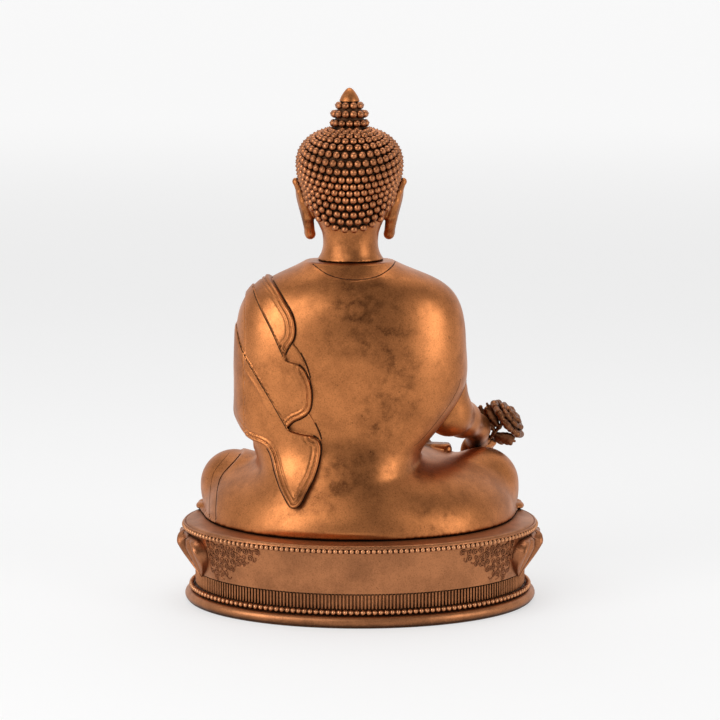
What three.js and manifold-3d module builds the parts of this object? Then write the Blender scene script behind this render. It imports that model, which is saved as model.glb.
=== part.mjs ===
// A seated healing Buddha in cast copper on an oval lotus base, in the sections that such a figure is cast in:
// a hollow base with a petal band and two bead wires, a hollow figure pinned to it by two tangs, a head on a
// neck pin, two pinned hands, and the bowl and the plant sprig that they hold.
// Millimetres, +Z up, the figure faces -Y, the origin is the middle of the footprint.

import * as THREE from "three";
import { mergeVertices } from "three/addons/utils/BufferGeometryUtils.js";
import Module from "manifold-3d";

const wasm = await Module();
wasm.setup();

// Driving dimensions
const TOTAL_HEIGHT = 210; // foot to the tip of the crown jewel
const BASE_HEIGHT = 33.4; // foot to the deck
const RIM_RADIUS = 73.3; // half the width of the deck's lip
const DEPTH_RATIO = 0.74; // the base's depth over its width
const FOOT_RADIUS = 72.4;
const WAIST_RADIUS = 68; // the fluted band
const CAST_WALL = 2.5;
const GAP = 0.3; // clearance between neighbouring castings
const FIGURE_X = 4.2; // the upper body sits a little to the figure's left
const PETAL_COUNT = 13;
const PETAL_SPAN = [-210, 30]; // degrees round the base, from behind one side over the front to behind the other
const PLATE_THICKNESS = 1.2;
const TANG = { x: 38, y: 8, width: 9.4, thickness: 3.4, bottom: 22 };
const WEDGE_RADIUS = 1.2;
const PIN_RADIUS = 2;
const NECK_SEAM_Z = 141.2;
const BOWL = { x: 3, y: -31, bottom: 69.5, radius: 10.2, height: 10.5, wall: 1.2 };
const STEM_ROOT = new THREE.Vector3(-52.5, -33.5, 57);
const STEM_AXIS = new THREE.Vector3(-0.583, 0.215, 0.785).normalize(); // the way the sprig pulls out
const STEM_RADIUS = 0.9;

const ROUND_STEPS = 44; // facets round the base
const SMALL_STEPS = 12; // facets round a limb
const FINGER_STEPS = 6;
const ARC_STEPS = 3; // facets along a limb's rounded end

const copper = new THREE.Color(0.52, 0.27, 0.14);
const darkCopper = new THREE.Color(0.36, 0.18, 0.1);

// ---- Solids ----

// A three.js geometry as a manifold solid, its doubled corners merged and its faces turned outwards.
function solid(geometry) {
  const bare = geometry.index ? geometry.toNonIndexed() : geometry.clone();
  bare.deleteAttribute("normal");
  bare.deleteAttribute("uv");
  const merged = mergeVertices(bare, 1e-4);
  const index = merged.index.array;
  const faces = [];
  for (let i = 0; i < index.length; i += 3) {
    const [a, b, c] = [index[i], index[i + 1], index[i + 2]];
    if (a !== b && b !== c && a !== c) faces.push(a, b, c);
  }
  const build = (list) =>
    new wasm.Manifold(
      new wasm.Mesh({
        numProp: 3,
        vertProperties: merged.attributes.position.array,
        triVerts: new Uint32Array(list),
      }),
    );
  const made = build(faces);
  return made.volume() < 0 ? build(faces.reverse()) : made;
}

const join = (solids) => solids.reduce((sum, next) => sum.add(next));

const cut = (body, tools) => tools.reduce((rest, tool) => rest.subtract(tool), body);

// A manifold solid as a named mesh of one colour.
function meshOf(name, body, colour = copper, roughness = 0.42) {
  const { vertProperties, triVerts, numProp } = body.getMesh();
  const position = new Float32Array((vertProperties.length / numProp) * 3);
  for (let i = 0; i < position.length / 3; i++)
    position.set(vertProperties.subarray(i * numProp, i * numProp + 3), i * 3);
  const geometry = new THREE.BufferGeometry();
  geometry.setAttribute("position", new THREE.BufferAttribute(position, 3));
  geometry.setIndex(new THREE.BufferAttribute(new Uint32Array(triVerts), 1));
  geometry.computeVertexNormals();
  const material = new THREE.MeshStandardMaterial({ color: colour, roughness, metalness: 1 });
  const mesh = new THREE.Mesh(geometry, material);
  mesh.name = name;
  return mesh;
}

// ---- Shapes ----

// A solid of revolution about Z from [radius, z] points, squeezed in Y by depth.
function turned(points, depth = 1, steps = ROUND_STEPS) {
  const profile = points.map(([r, z]) => new THREE.Vector2(r, z));
  const geometry = new THREE.LatheGeometry(profile, steps);
  geometry.rotateX(Math.PI / 2);
  geometry.scale(1, depth, 1);
  return solid(geometry);
}

// A ring of round section about Z, on the base's oval.
function ovalRing(radius, z, sectionRadius) {
  const corners = Array.from({ length: 5 }, (_, i) => {
    const angle = (i / 5) * 2 * Math.PI;
    return [radius + sectionRadius * Math.cos(angle), z + sectionRadius * Math.sin(angle)];
  });
  return turned([...corners, corners[0]], DEPTH_RATIO);
}

function ellipsoid([x, y, z], [rx, ry, rz], turn = [0, 0, 0], steps = SMALL_STEPS) {
  const geometry = new THREE.SphereGeometry(1, steps, Math.round(steps * 0.6));
  geometry.rotateX(Math.PI / 2);
  geometry.scale(rx, ry, rz);
  geometry.applyMatrix4(new THREE.Matrix4().makeRotationFromEuler(new THREE.Euler(...turn)));
  geometry.translate(x, y, z);
  return solid(geometry);
}

// The convex shape round two balls, turned about the line between them.
function limb(from, fromRadius, to, toRadius, steps = SMALL_STEPS) {
  const start = new THREE.Vector3(...from);
  const along = new THREE.Vector3(...to).sub(start);
  const length = along.length();
  const lean = Math.asin((fromRadius - toRadius) / length);
  const profile = [];
  const arc = (radius, middle, low, high) => {
    for (let i = 0; i <= ARC_STEPS; i++) {
      const angle = low + ((high - low) * i) / ARC_STEPS;
      profile.push(new THREE.Vector2(radius * Math.cos(angle), middle + radius * Math.sin(angle)));
    }
  };
  arc(fromRadius, 0, -Math.PI / 2, lean);
  arc(toRadius, length, lean, Math.PI / 2);
  profile[0].x = 0;
  profile[profile.length - 1].x = 0;
  const geometry = new THREE.LatheGeometry(profile, steps);
  const up = new THREE.Vector3(0, 1, 0);
  geometry.applyQuaternion(new THREE.Quaternion().setFromUnitVectors(up, along.normalize()));
  geometry.translate(start.x, start.y, start.z);
  return solid(geometry);
}

// A chain of limbs through [point, radius] pairs.
function chain(joints, grow = 0, steps = SMALL_STEPS) {
  const links = joints.slice(1).map(([to, toRadius], i) => {
    const [from, fromRadius] = joints[i];
    return limb(from, fromRadius + grow, to, toRadius + grow, steps);
  });
  return join(links);
}

function box([x0, y0, z0], [x1, y1, z1]) {
  const geometry = new THREE.BoxGeometry(x1 - x0, y1 - y0, z1 - z0);
  geometry.translate((x0 + x1) / 2, (y0 + y1) / 2, (z0 + z1) / 2);
  return solid(geometry);
}

// A plain round pin between two points.
function pin(from, to, radius, steps = 12) {
  const start = new THREE.Vector3(...from);
  const along = new THREE.Vector3(...to).sub(start);
  const geometry = new THREE.CylinderGeometry(radius, radius, along.length(), steps);
  geometry.translate(0, along.length() / 2, 0);
  const up = new THREE.Vector3(0, 1, 0);
  geometry.applyQuaternion(new THREE.Quaternion().setFromUnitVectors(up, along.clone().normalize()));
  geometry.translate(start.x, start.y, start.z);
  return solid(geometry);
}

// An outline in X and Z, extruded along Y.
function plate(outline, fromY, toY) {
  const shape = new THREE.Shape(outline.map(([x, z]) => new THREE.Vector2(x, z)));
  const geometry = new THREE.ExtrudeGeometry(shape, { depth: toY - fromY, bevelEnabled: false });
  geometry.rotateX(Math.PI / 2);
  geometry.translate(0, toY, 0);
  return solid(geometry);
}

// ---- The base ----

const DECK_UNDER = BASE_HEIGHT - CAST_WALL;
const PLATE_BOTTOM = 1;
const LEDGE_Z = PLATE_BOTTOM + PLATE_THICKNESS + GAP;
const PLATE_RADIUS = 66.2;
const UPPER_BEADS = { radius: 72.4, z: 31.4, section: 0.65 };
const LOWER_BEADS = { radius: 69.2, z: 5.9, section: 0.65 };
const WALL_TOP = [71.8, 30.4]; // the plain wall, from under the upper beads to the fluted band
const WALL_BOTTOM = [68.4, 13.4];
const FOOT_TOP = 4.8;
const BASE_OUTSIDE = [
  [0, BASE_HEIGHT],
  [68.5, BASE_HEIGHT],
  [72, BASE_HEIGHT - 0.3],
  [RIM_RADIUS, BASE_HEIGHT - 0.8],
  [RIM_RADIUS - 0.2, BASE_HEIGHT - 1.05],
  [71.4, BASE_HEIGHT - 1.05],
  [71.4, WALL_TOP[1]],
  WALL_TOP,
  WALL_BOTTOM,
  [WAIST_RADIUS, 13.2],
  [WAIST_RADIUS, FOOT_TOP],
  [70.6, FOOT_TOP],
  [71.9, 4.2],
  [FOOT_RADIUS, 2.6],
  [72.1, 0.9],
  [71.4, 0],
];
const BASE_INSIDE = [
  [PLATE_RADIUS + GAP, 0],
  [PLATE_RADIUS + GAP, LEDGE_Z],
  [64, LEDGE_Z],
  [WAIST_RADIUS - CAST_WALL, 8],
  [WAIST_RADIUS - CAST_WALL, 13.4],
  [69, DECK_UNDER - 1],
  [67, DECK_UNDER],
  [0, DECK_UNDER],
];

// One tang, or the slot for it when grown by the gap.
function tang(side, grow = 0) {
  const halfWidth = TANG.width / 2 + grow;
  const halfThick = TANG.thickness / 2 + grow;
  const middle = side * TANG.x;
  const low = [middle - halfWidth, TANG.y - halfThick, TANG.bottom - grow];
  return box(low, [middle + halfWidth, TANG.y + halfThick, BASE_HEIGHT + 5]);
}

function wedgePin(side, grow = 0) {
  const z = DECK_UNDER - 0.4 - WEDGE_RADIUS;
  const reach = 7 + grow;
  const x = side * TANG.x;
  return pin([x, TANG.y - reach, z], [x, TANG.y + reach, z], WEDGE_RADIUS + grow);
}

function lotusBase() {
  const shell = turned([...BASE_OUTSIDE, ...BASE_INSIDE], DEPTH_RATIO);
  return cut(shell, [tang(-1, GAP), tang(1, GAP)]);
}

function sealingPlate() {
  const top = PLATE_BOTTOM + PLATE_THICKNESS;
  return turned([[0, top], [PLATE_RADIUS, top], [PLATE_RADIUS, PLATE_BOTTOM], [0, PLATE_BOTTOM]], DEPTH_RATIO);
}

// A point on the oval, and the outward direction there, at an angle of its parameter.
function onOval(radius, angle) {
  const x = Math.cos(angle);
  const y = Math.sin(angle);
  const outward = new THREE.Vector2(x * DEPTH_RATIO, y).normalize();
  return { x: radius * x, y: radius * DEPTH_RATIO * y, facing: Math.atan2(outward.y, outward.x) };
}

// Angles that share a stretch of the oval out in equal lengths, each at the middle of its share.
function evenAngles(count, fromDegrees, toDegrees) {
  const fine = 720;
  const low = THREE.MathUtils.degToRad(fromDegrees);
  const step = THREE.MathUtils.degToRad(toDegrees - fromDegrees) / fine;
  const lengths = [0];
  for (let i = 0; i < fine; i++) {
    const angle = low + (i + 0.5) * step;
    lengths.push(lengths[i] + Math.hypot(Math.sin(angle), DEPTH_RATIO * Math.cos(angle)));
  }
  return Array.from({ length: count }, (_, k) => {
    const wanted = ((k + 0.5) / count) * lengths[fine];
    return low + step * lengths.findIndex((length) => length >= wanted);
  });
}

// The band of lotus petals, laid against the wall from one side round the front to the other.
function petalBand() {
  const lowZ = WALL_BOTTOM[1] + 0.4;
  const highZ = WALL_TOP[1] - 0.4;
  const strip = turned(
    [[60, highZ], [WALL_TOP[0] + 1.2, highZ], [WALL_BOTTOM[0] + 1.2, lowZ], [60, lowZ], [60, highZ]],
    DEPTH_RATIO,
  );
  const lean = Math.atan2(WALL_TOP[0] - WALL_BOTTOM[0], WALL_TOP[1] - WALL_BOTTOM[1]);
  const petals = evenAngles(PETAL_COUNT, ...PETAL_SPAN).map((angle) => {
    const spot = onOval((WALL_TOP[0] + WALL_BOTTOM[0]) / 2 + 0.9, angle);
    const form = new THREE.SphereGeometry(1, 10, 6);
    form.rotateX(Math.PI / 2);
    form.scale(3.2, 8.6, 8.2);
    form.rotateY(lean);
    form.rotateZ(spot.facing);
    form.translate(spot.x, spot.y, (lowZ + highZ) / 2);
    return solid(form);
  });
  const rearEdge = onOval(RIM_RADIUS, THREE.MathUtils.degToRad(PETAL_SPAN[1]));
  const rear = box([-90, rearEdge.y, 0], [90, 90, BASE_HEIGHT]);
  const wall = turned(
    [[0, WALL_TOP[1]], [WALL_TOP[0] + GAP, WALL_TOP[1]], [WALL_BOTTOM[0] + GAP, WALL_BOTTOM[1]],
      [WALL_BOTTOM[0] + GAP, 10], [0, 10]],
    DEPTH_RATIO,
  );
  const above = box([-90, -90, highZ], [90, 90, 60]);
  const below = box([-90, -90, 0], [90, 90, lowZ]);
  return cut(join([strip.subtract(rear), ...petals]), [wall, above, below]);
}

// ---- The figure ----

const SHOULDER_X = 26.8; // from the figure's middle
const ELBOW_X = 37.3;
const KNEE = { x: 51.1, y: -17, z: 44.5, radius: 14.3 };

// The torso with its sleeves, grown outwards by an amount.
function torso(grow = 0) {
  const left = FIGURE_X + SHOULDER_X;
  const right = FIGURE_X - SHOULDER_X;
  return join([
    ellipsoid([FIGURE_X, 8, 106], [42 + grow, 23 + grow, 32 + grow], [0, 0, 0], 20),
    ellipsoid([FIGURE_X, 9, 78], [30 + grow, 23 + grow, 30 + grow], [0, 0, 0], 20),
    ellipsoid([FIGURE_X, 14, 92], [43 + grow, 16 + grow, 34 + grow], [0, 0, 0], 20),
    chain([[[FIGURE_X, 8, 122], 17], [[FIGURE_X, 8, 137], 12.8]], grow),
    chain([[[left, 6, 113], 19], [[FIGURE_X + ELBOW_X, 3, 76], 9.5]], grow),
    chain([[[right, 6, 113], 19], [[FIGURE_X - ELBOW_X - 1.5, 4, 93], 11.5]], grow),
  ]);
}

const RIGHT_ARM = [
  [[-36, 3, 85], 8.6],
  [[-36, 2, 77], 9.2],
  [[-47, -24, 65], 5.2],
  [[-49, -33.5, 58], 4.4],
];
const LEFT_FOREARM = [
  [[FIGURE_X + ELBOW_X, 3, 76], 9.5],
  [[17, -24, 65.5], 6],
];

function rightArmForm(grow = 0) {
  const fingers = [-53, -50.3, -47.6, -45].map((x, i) =>
    limb([x, -36, 50], 2.1 + grow, [x, -36.8, 42 + Math.abs(i - 1.4) * 1.6], 1.7 + grow, FINGER_STEPS),
  );
  return join([
    chain(RIGHT_ARM, grow),
    ellipsoid([-49, -35.4, 53.5], [6 + grow, 3.4 + grow, 7 + grow]),
    chain([[[-46.5, -33.5, 59], 2.5], [[-53.5, -34, 58.4], 2.2]], grow, FINGER_STEPS),
    ...fingers,
  ]);
}

function leftHandForm(grow = 0) {
  const fingers = [-35.2, -32.4, -29.6, -27].map((y) =>
    limb([-4, y, 65.6], 2 + grow, [-14.5, y + 0.8, 65.2], 1.6 + grow, FINGER_STEPS),
  );
  return join([
    chain([[[14.5, -26.5, 65.6], 5], [[6, -30, 65], 4.2]], grow),
    ellipsoid([2, -31, 65.6], [9.5 + grow, 6.6 + grow, 3.4 + grow]),
    chain([[[7, -35, 66.4], 2.4], [[-3, -38.6, 67.6], 1.9]], grow, FINGER_STEPS),
    ...fingers,
  ]);
}

function legs() {
  const left = [KNEE.x, KNEE.y, KNEE.z];
  const right = [-KNEE.x, KNEE.y, KNEE.z];
  return join([
    ellipsoid([FIGURE_X - 2, 10, 43], [47, 33.5, 26], [0, 0, 0], 22),
    chain([[[24, 8, 46], 17], [left, KNEE.radius]]),
    chain([[[-20, 8, 46], 17], [right, KNEE.radius]]),
    chain([[[-48, -20, 43.5], 12.5], [[10, -37, 43.5], 8]]),
    chain([[[48, -20, 43.5], 12.5], [[-8, -35, 47], 8]]),
    chain([[[12, -37, 50], 6], [[37, -25, 57.5], 4.4]]),
    chain([[[-8, -35, 52], 6], [[-36, -22, 57.5], 4.2]]),
    turned([[0, 36], [64.4, 36], [64.8, 34.8], [64.4, BASE_HEIGHT + GAP], [0, BASE_HEIGHT + GAP]], 0.7),
  ]);
}

// The room inside the figure, open at the bottom.
function figureHollow() {
  return join([
    ellipsoid([FIGURE_X, 8, 106], [37, 19, 27]),
    ellipsoid([FIGURE_X, 9, 78], [26, 19, 28]),
    ellipsoid([FIGURE_X - 2, 10, 43], [42, 29, 22]),
  ]);
}

const NECK_PIN = [[FIGURE_X, 8, 128], [FIGURE_X, 8, 153]];
const RIGHT_ARM_PIN = [[-35.4, 3.6, 79], [-34.6, 4.2, 98]];
const LEFT_HAND_PIN = [[26, -16, 69], [9, -28.8, 65.2]];

function bodyCasting() {
  const whole = join([torso(), legs(), chain(LEFT_FOREARM), tang(-1), tang(1)]);
  const aboveSeam = box([-40, -40, NECK_SEAM_Z - GAP], [50, 60, 190]);
  const belowDeck = cut(box([-90, -90, 0], [90, 90, BASE_HEIGHT + GAP]), [tang(-1), tang(1)]);
  return cut(whole, [
    belowDeck,
    figureHollow(),
    aboveSeam,
    rightArmForm(GAP),
    leftHandForm(GAP),
    pin(...NECK_PIN, PIN_RADIUS + GAP),
    pin(...RIGHT_ARM_PIN, PIN_RADIUS + GAP),
    pin(...LEFT_HAND_PIN, PIN_RADIUS - 0.4 + GAP),
    wedgePin(-1, GAP),
    wedgePin(1, GAP),
  ]);
}

// The end of the robe, thrown over the left shoulder and falling down the back in three lobes.
const FOLD_OUTLINE = [
  [38.5, 138], [32.1, 130.9], [26.8, 123.3], [25.4, 116.3], [27.4, 111.4], [30.3, 105.3],
  [27.1, 102.7], [21.9, 99.1], [19.2, 91.9], [20.4, 83.3], [25.3, 78.5], [19, 73.3],
  [15.2, 69.6], [16.7, 61.5], [20.7, 52.5], [26.4, 44.9], [32, 51.5], [34.7, 58.2],
  [36, 65.9], [38.1, 71.3], [42.4, 74.6], [46.9, 79], [45, 96], [42, 118],
];
const FOLD_THICKNESS = 1.6;

function robeShoulderFold() {
  const back = (grow) =>
    join([torso(grow), ellipsoid([FIGURE_X - 2, 10, 43], [47 + grow, 33.5 + grow, 26 + grow], [0, 0, 0], 22)]);
  const layer = back(GAP + FOLD_THICKNESS).subtract(back(GAP));
  return layer.intersect(plate(FOLD_OUTLINE, 12, 60)).subtract(chain([[[24, 8, 46], 17], [[51, -17, 44.5], 14.3]], GAP));
}

// ---- The head ----

const HEAD = [FIGURE_X, 5, 174];

function headForm() {
  const ear = (side) =>
    ellipsoid([FIGURE_X + side * 19.6, 4, 161], [2, 5.2, 12], [0, side * 0.14, 0], 10);
  return join([
    ellipsoid(HEAD, [20.6, 22, 20.6], [0, 0, 0], 20),
    ellipsoid([FIGURE_X, -1, 162.5], [15.6, 16.5, 16], [0, 0, 0], 14),
    chain([[[FIGURE_X, 8, 137], 12.8], [[FIGURE_X, 7, 160], 12]]),
    ellipsoid([FIGURE_X, 5, 196], [7.9, 7.9, 8.2]),
    ear(-1),
    ear(1),
  ]);
}

const JEWEL_SEAT_Z = 203.6;

function headCasting() {
  const belowSeam = box([-40, -40, 100], [50, 60, NECK_SEAM_Z]);
  const hollow = ellipsoid([FIGURE_X, 4, 173], [17, 18, 16]);
  return cut(headForm(), [
    belowSeam,
    hollow,
    pin(...NECK_PIN, PIN_RADIUS + GAP),
    pin([FIGURE_X, 8, 150], [FIGURE_X, 8, 162], PIN_RADIUS + GAP),
    box([-20, -20, JEWEL_SEAT_Z - GAP], [30, 30, 220]),
    pin([FIGURE_X, 5, 196], [FIGURE_X, 5, 206], 1.2 + GAP),
  ]);
}

function crownJewel() {
  const profile = [
    [0, TOTAL_HEIGHT], [1.1, TOTAL_HEIGHT - 0.7], [2.6, 207.6], [3.6, 205.6], [3.8, 204.4],
    [3.4, JEWEL_SEAT_Z], [1.2, JEWEL_SEAT_Z], [1.2, 197], [0, 197],
  ];
  const jewel = new THREE.LatheGeometry(profile.map(([r, z]) => new THREE.Vector2(r, z)), SMALL_STEPS);
  jewel.rotateX(Math.PI / 2);
  jewel.translate(FIGURE_X, 5, 0);
  return solid(jewel);
}

// ---- The hands and what they hold ----

function alongStem(distance) {
  return STEM_ROOT.clone().addScaledVector(STEM_AXIS, distance).toArray();
}

const STEM_END = 15;

function sprigStem(grow = 0) {
  return pin(alongStem(-3 - grow), alongStem(STEM_END), STEM_RADIUS + grow, 8);
}

function rightArm() {
  return cut(rightArmForm(), [pin(...RIGHT_ARM_PIN, PIN_RADIUS + GAP), sprigStem(GAP + 0.1)]);
}

function leftHand() {
  return cut(leftHandForm(), [
    pin(...LEFT_HAND_PIN, PIN_RADIUS - 0.4 + GAP),
    box([-30, -60, BOWL.bottom - GAP], [30, 0, 90]),
  ]);
}

function atBowl(points, steps = 20) {
  const geometry = new THREE.LatheGeometry(points.map(([r, z]) => new THREE.Vector2(r, z)), steps);
  geometry.rotateX(Math.PI / 2);
  geometry.translate(BOWL.x, BOWL.y, BOWL.bottom);
  return solid(geometry);
}

function medicineBowl() {
  const { radius, height, wall } = BOWL;
  return atBowl([
    [0, 0], [4.2, 0], [4.6, 0.8], [7.6, 2.6], [radius - 0.5, 6], [radius, 9], [radius - 0.3, height],
    [radius - wall, height], [radius - wall - 0.4, 6.4], [6.4, 3.6], [3.5, 2], [0, 2],
  ]);
}

function bowlFruit() {
  return atBowl([[0, 2.4], [3.2, 2.4], [6, 4], [8.2, 6.8], [8.6, 9.6], [7.4, 12.6], [4.2, 14.4], [0, 15]], 14);
}

// The flower head, a shallow cup facing along the stem.
function sprigFlower() {
  const points = [[0, 0], [1.8, 0], [4, 1.4], [8.2, 2.2], [9, 3.4], [5, 4.6], [3, 6], [0, 6.4]];
  const geometry = new THREE.LatheGeometry(points.map(([r, z]) => new THREE.Vector2(r, z)), 14);
  const up = new THREE.Vector3(0, 1, 0);
  geometry.applyQuaternion(new THREE.Quaternion().setFromUnitVectors(up, STEM_AXIS));
  geometry.translate(...alongStem(STEM_END + GAP));
  return solid(geometry);
}

function sprigLeaf(distance, offset, turn) {
  const middle = alongStem(distance).map((value, i) => value + offset[i]);
  return cut(ellipsoid(middle, [5.2, 2.2, 1.1], turn, 8), [sprigStem(GAP)]);
}

// ---- Assembly ----

const statue = new THREE.Group();
const pieces = new THREE.Group();
statue.add(pieces);

pieces.add(
  meshOf("lotus_base", lotusBase()),
  meshOf("lotus_petal_band", petalBand(), darkCopper),
  meshOf("upper_bead_wire", ovalRing(UPPER_BEADS.radius, UPPER_BEADS.z, UPPER_BEADS.section)),
  meshOf("lower_bead_wire", ovalRing(LOWER_BEADS.radius, LOWER_BEADS.z, LOWER_BEADS.section)),
  meshOf("sealing_plate", sealingPlate(), copper, 0.5),
  meshOf("body_casting", bodyCasting()),
  meshOf("robe_shoulder_fold", robeShoulderFold()),
  meshOf("head_casting", headCasting()),
  meshOf("crown_jewel", crownJewel()),
  meshOf("neck_pin", pin(...NECK_PIN, PIN_RADIUS), darkCopper, 0.6),
  meshOf("right_arm", rightArm()),
  meshOf("right_arm_pin", pin(...RIGHT_ARM_PIN, PIN_RADIUS), darkCopper, 0.6),
  meshOf("left_hand", leftHand()),
  meshOf("left_hand_pin", pin(...LEFT_HAND_PIN, PIN_RADIUS - 0.4), darkCopper, 0.6),
  meshOf("tang_wedge_left", wedgePin(1), darkCopper, 0.6),
  meshOf("tang_wedge_right", wedgePin(-1), darkCopper, 0.6),
  meshOf("medicine_bowl", medicineBowl()),
  meshOf("bowl_fruit", bowlFruit(), darkCopper),
  meshOf("sprig_stem", sprigStem()),
  meshOf("sprig_flower", sprigFlower(), darkCopper),
  meshOf("sprig_leaf_upper", sprigLeaf(9, [4.6, -1, 2.2], [0.2, -0.6, 0.3])),
  meshOf("sprig_leaf_lower", sprigLeaf(9, [-5, -1.5, -3.6], [0.2, -0.5, -0.3])),
);

// The petals stand out further at the front than the rim does behind, so the middle of the footprint is set here.
const extent = new THREE.Box3().setFromObject(pieces);
pieces.position.y = -(extent.min.y + extent.max.y) / 2;

export default statue;
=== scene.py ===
"""The looks of a seated healing Buddha in oxidised copper on an oval lotus base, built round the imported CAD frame.

Shapes are worked out in millimetres about the middle of the base's foot, with the figure facing -Y, and become
metres in the frame's own coordinates when a mesh is made."""

import math

import bpy
import numpy as np
from mathutils import Matrix, Vector
from mathutils.bvhtree import BVHTree


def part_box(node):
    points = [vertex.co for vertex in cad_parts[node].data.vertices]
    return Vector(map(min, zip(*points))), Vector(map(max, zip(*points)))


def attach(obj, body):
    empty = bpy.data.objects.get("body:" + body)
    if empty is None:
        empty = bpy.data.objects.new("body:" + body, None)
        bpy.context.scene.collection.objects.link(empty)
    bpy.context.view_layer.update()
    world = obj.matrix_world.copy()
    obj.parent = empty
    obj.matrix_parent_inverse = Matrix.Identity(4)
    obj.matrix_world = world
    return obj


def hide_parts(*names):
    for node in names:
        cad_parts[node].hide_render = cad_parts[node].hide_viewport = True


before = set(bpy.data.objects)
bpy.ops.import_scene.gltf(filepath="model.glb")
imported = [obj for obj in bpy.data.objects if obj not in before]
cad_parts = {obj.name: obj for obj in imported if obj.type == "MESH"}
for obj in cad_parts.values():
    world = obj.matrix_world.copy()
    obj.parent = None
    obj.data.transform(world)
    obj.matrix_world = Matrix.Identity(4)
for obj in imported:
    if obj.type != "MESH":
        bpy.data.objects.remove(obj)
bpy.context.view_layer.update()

MM = 0.001


# ---- Places from the frame, in millimetres about the middle of the base ----

def node_box(node):
    low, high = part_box(node)
    return np.array(low) / MM, np.array(high) / MM


base_low, base_high = node_box("lotus_base")
MIDDLE = np.array([(base_low[0] + base_high[0]) / 2, (base_low[1] + base_high[1]) / 2, base_low[2]])
RIM = (base_high[0] - base_low[0]) / 2
DEPTH = (base_high[1] - base_low[1]) / (base_high[0] - base_low[0])
DECK = base_high[2] - base_low[2]
FIGURE_X = node_box("neck_pin")[0][0] + 2 - MIDDLE[0]
SEAM = node_box("head_casting")[0][2]
TOP = node_box("crown_jewel")[1][2]
FOOT = RIM - 0.9
WAIST = RIM - 5.3
WALL_LOW = (RIM - 4.9, 13.4)
WALL_HIGH = (RIM - 1.5, 30.4)


# ---- Fields: functions of points that give the distance to a form, negative inside ----

def blended(a, b, width):
    """The smaller of two distances, with a fillet where they meet."""
    share = np.clip(0.5 + 0.5 * (b - a) / width, 0, 1)
    return b + (a - b) * share - width * share * (1 - share)


def eased(share):
    """A share from 0 to 1 that starts and ends gently."""
    share = np.clip(share, 0, 1)
    return share * share * (3 - 2 * share)


def joined(width, *forms):
    def field(p):
        d = forms[0](p)
        for form in forms[1:]:
            d = blended(d, form(p), width)
        return d
    return field


def carved(width, body, *tools):
    def field(p):
        d = body(p)
        for tool in tools:
            d = -blended(-d, tool(p), width)
        return d
    return field


def rotation(turn):
    """A rotation matrix from degrees about X, Y and Z."""
    x, y, z = (math.radians(angle) for angle in turn)
    return np.array(Matrix.Rotation(z, 3, "Z") @ Matrix.Rotation(y, 3, "Y") @ Matrix.Rotation(x, 3, "X"))


def egg(centre, radii, turn=(0, 0, 0)):
    middle, reach, axes = np.array(centre, float), np.array(radii, float), rotation(turn)
    def field(p):
        q = (p - middle) @ axes
        ratio = np.sqrt(((q / reach) ** 2).sum(axis=1))
        slope = np.sqrt(((q / reach**2) ** 2).sum(axis=1))
        return ratio * (ratio - 1) / np.maximum(slope, 1e-6)
    return field


def limb(start, start_radius, end, end_radius):
    """The shape round two balls and what lies between them."""
    a, b = np.array(start, float), np.array(end, float)
    length = np.linalg.norm(b - a)
    along = (b - a) / length
    lean = (start_radius - end_radius) / length
    upright = math.sqrt(max(1 - lean * lean, 1e-9))
    def field(p):
        q = p - a
        t = q @ along
        r = np.sqrt(np.maximum((q * q).sum(axis=1) - t * t, 0))
        k = upright * t - lean * r
        side = r * upright + t * lean - start_radius
        d = np.where(k < 0, np.sqrt(r * r + t * t) - start_radius, side)
        return np.where(k > upright * length, np.sqrt(r * r + (t - length) ** 2) - end_radius, d)
    return field


def chain(*joints, width=1.5):
    """Limbs through (point, radius) pairs."""
    links = [limb(a, ra, b, rb) for (a, ra), (b, rb) in zip(joints, joints[1:])]
    return joined(width, *links) if len(links) > 1 else links[0]


def smoothed(stations, values, spread):
    """A curve through stations as a fine table, softened over a spread."""
    fine = np.arange(stations[0] - 4 * spread, stations[-1] + 4 * spread, 0.5)
    table = np.interp(fine, stations, values)
    reach = np.arange(-3 * spread, 3 * spread + 0.5, 0.5)
    weights = np.exp(-0.5 * (reach / spread) ** 2)
    padded = np.pad(table, len(reach) // 2, mode="edge")
    return fine, np.convolve(padded, weights / weights.sum(), mode="valid")[: len(fine)]


def dome(centre, radii, power):
    """An egg, round from above, that is squarer than an ellipse from the side."""
    middle, reach = np.array(centre, float), np.array(radii, float)
    def field(p):
        q = p - middle
        level = np.hypot(q[:, 0] / reach[0], q[:, 1] / reach[1])
        ratio = (level**power + np.abs(q[:, 2] / reach[2]) ** power) ** (1 / power)
        away = np.linalg.norm(q, axis=1)
        return away - away / np.maximum(ratio, 1e-4)
    return field


def lofted(middle, sections, power, spread=3):
    """A form whose level outlines are rounded boxes, widest at the middle (x, y).

    The sections are (z, half width to +X, half width to -X, front, back)."""
    rows = np.array(sorted(sections), float)
    tables = [smoothed(rows[:, 0], rows[:, i], spread) for i in range(1, 5)]
    low, high = rows[0, 0], rows[-1, 0]
    def field(p):
        plus, minus, front, back = (np.interp(p[:, 2], *table) for table in tables)
        x, y = p[:, 0] - middle[0], p[:, 1] - middle[1]
        wide = np.where(x > 0, plus, minus)
        deep = np.where(y > 0, back - middle[1], middle[1] - front)
        ratio = ((np.abs(x) / wide) ** power + (np.abs(y) / deep) ** power) ** (1 / power)
        reach = np.hypot(x, y)
        d = reach - reach / np.maximum(ratio, 1e-4)
        return np.maximum(d, np.maximum(low - p[:, 2], p[:, 2] - high))
    return field


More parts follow.
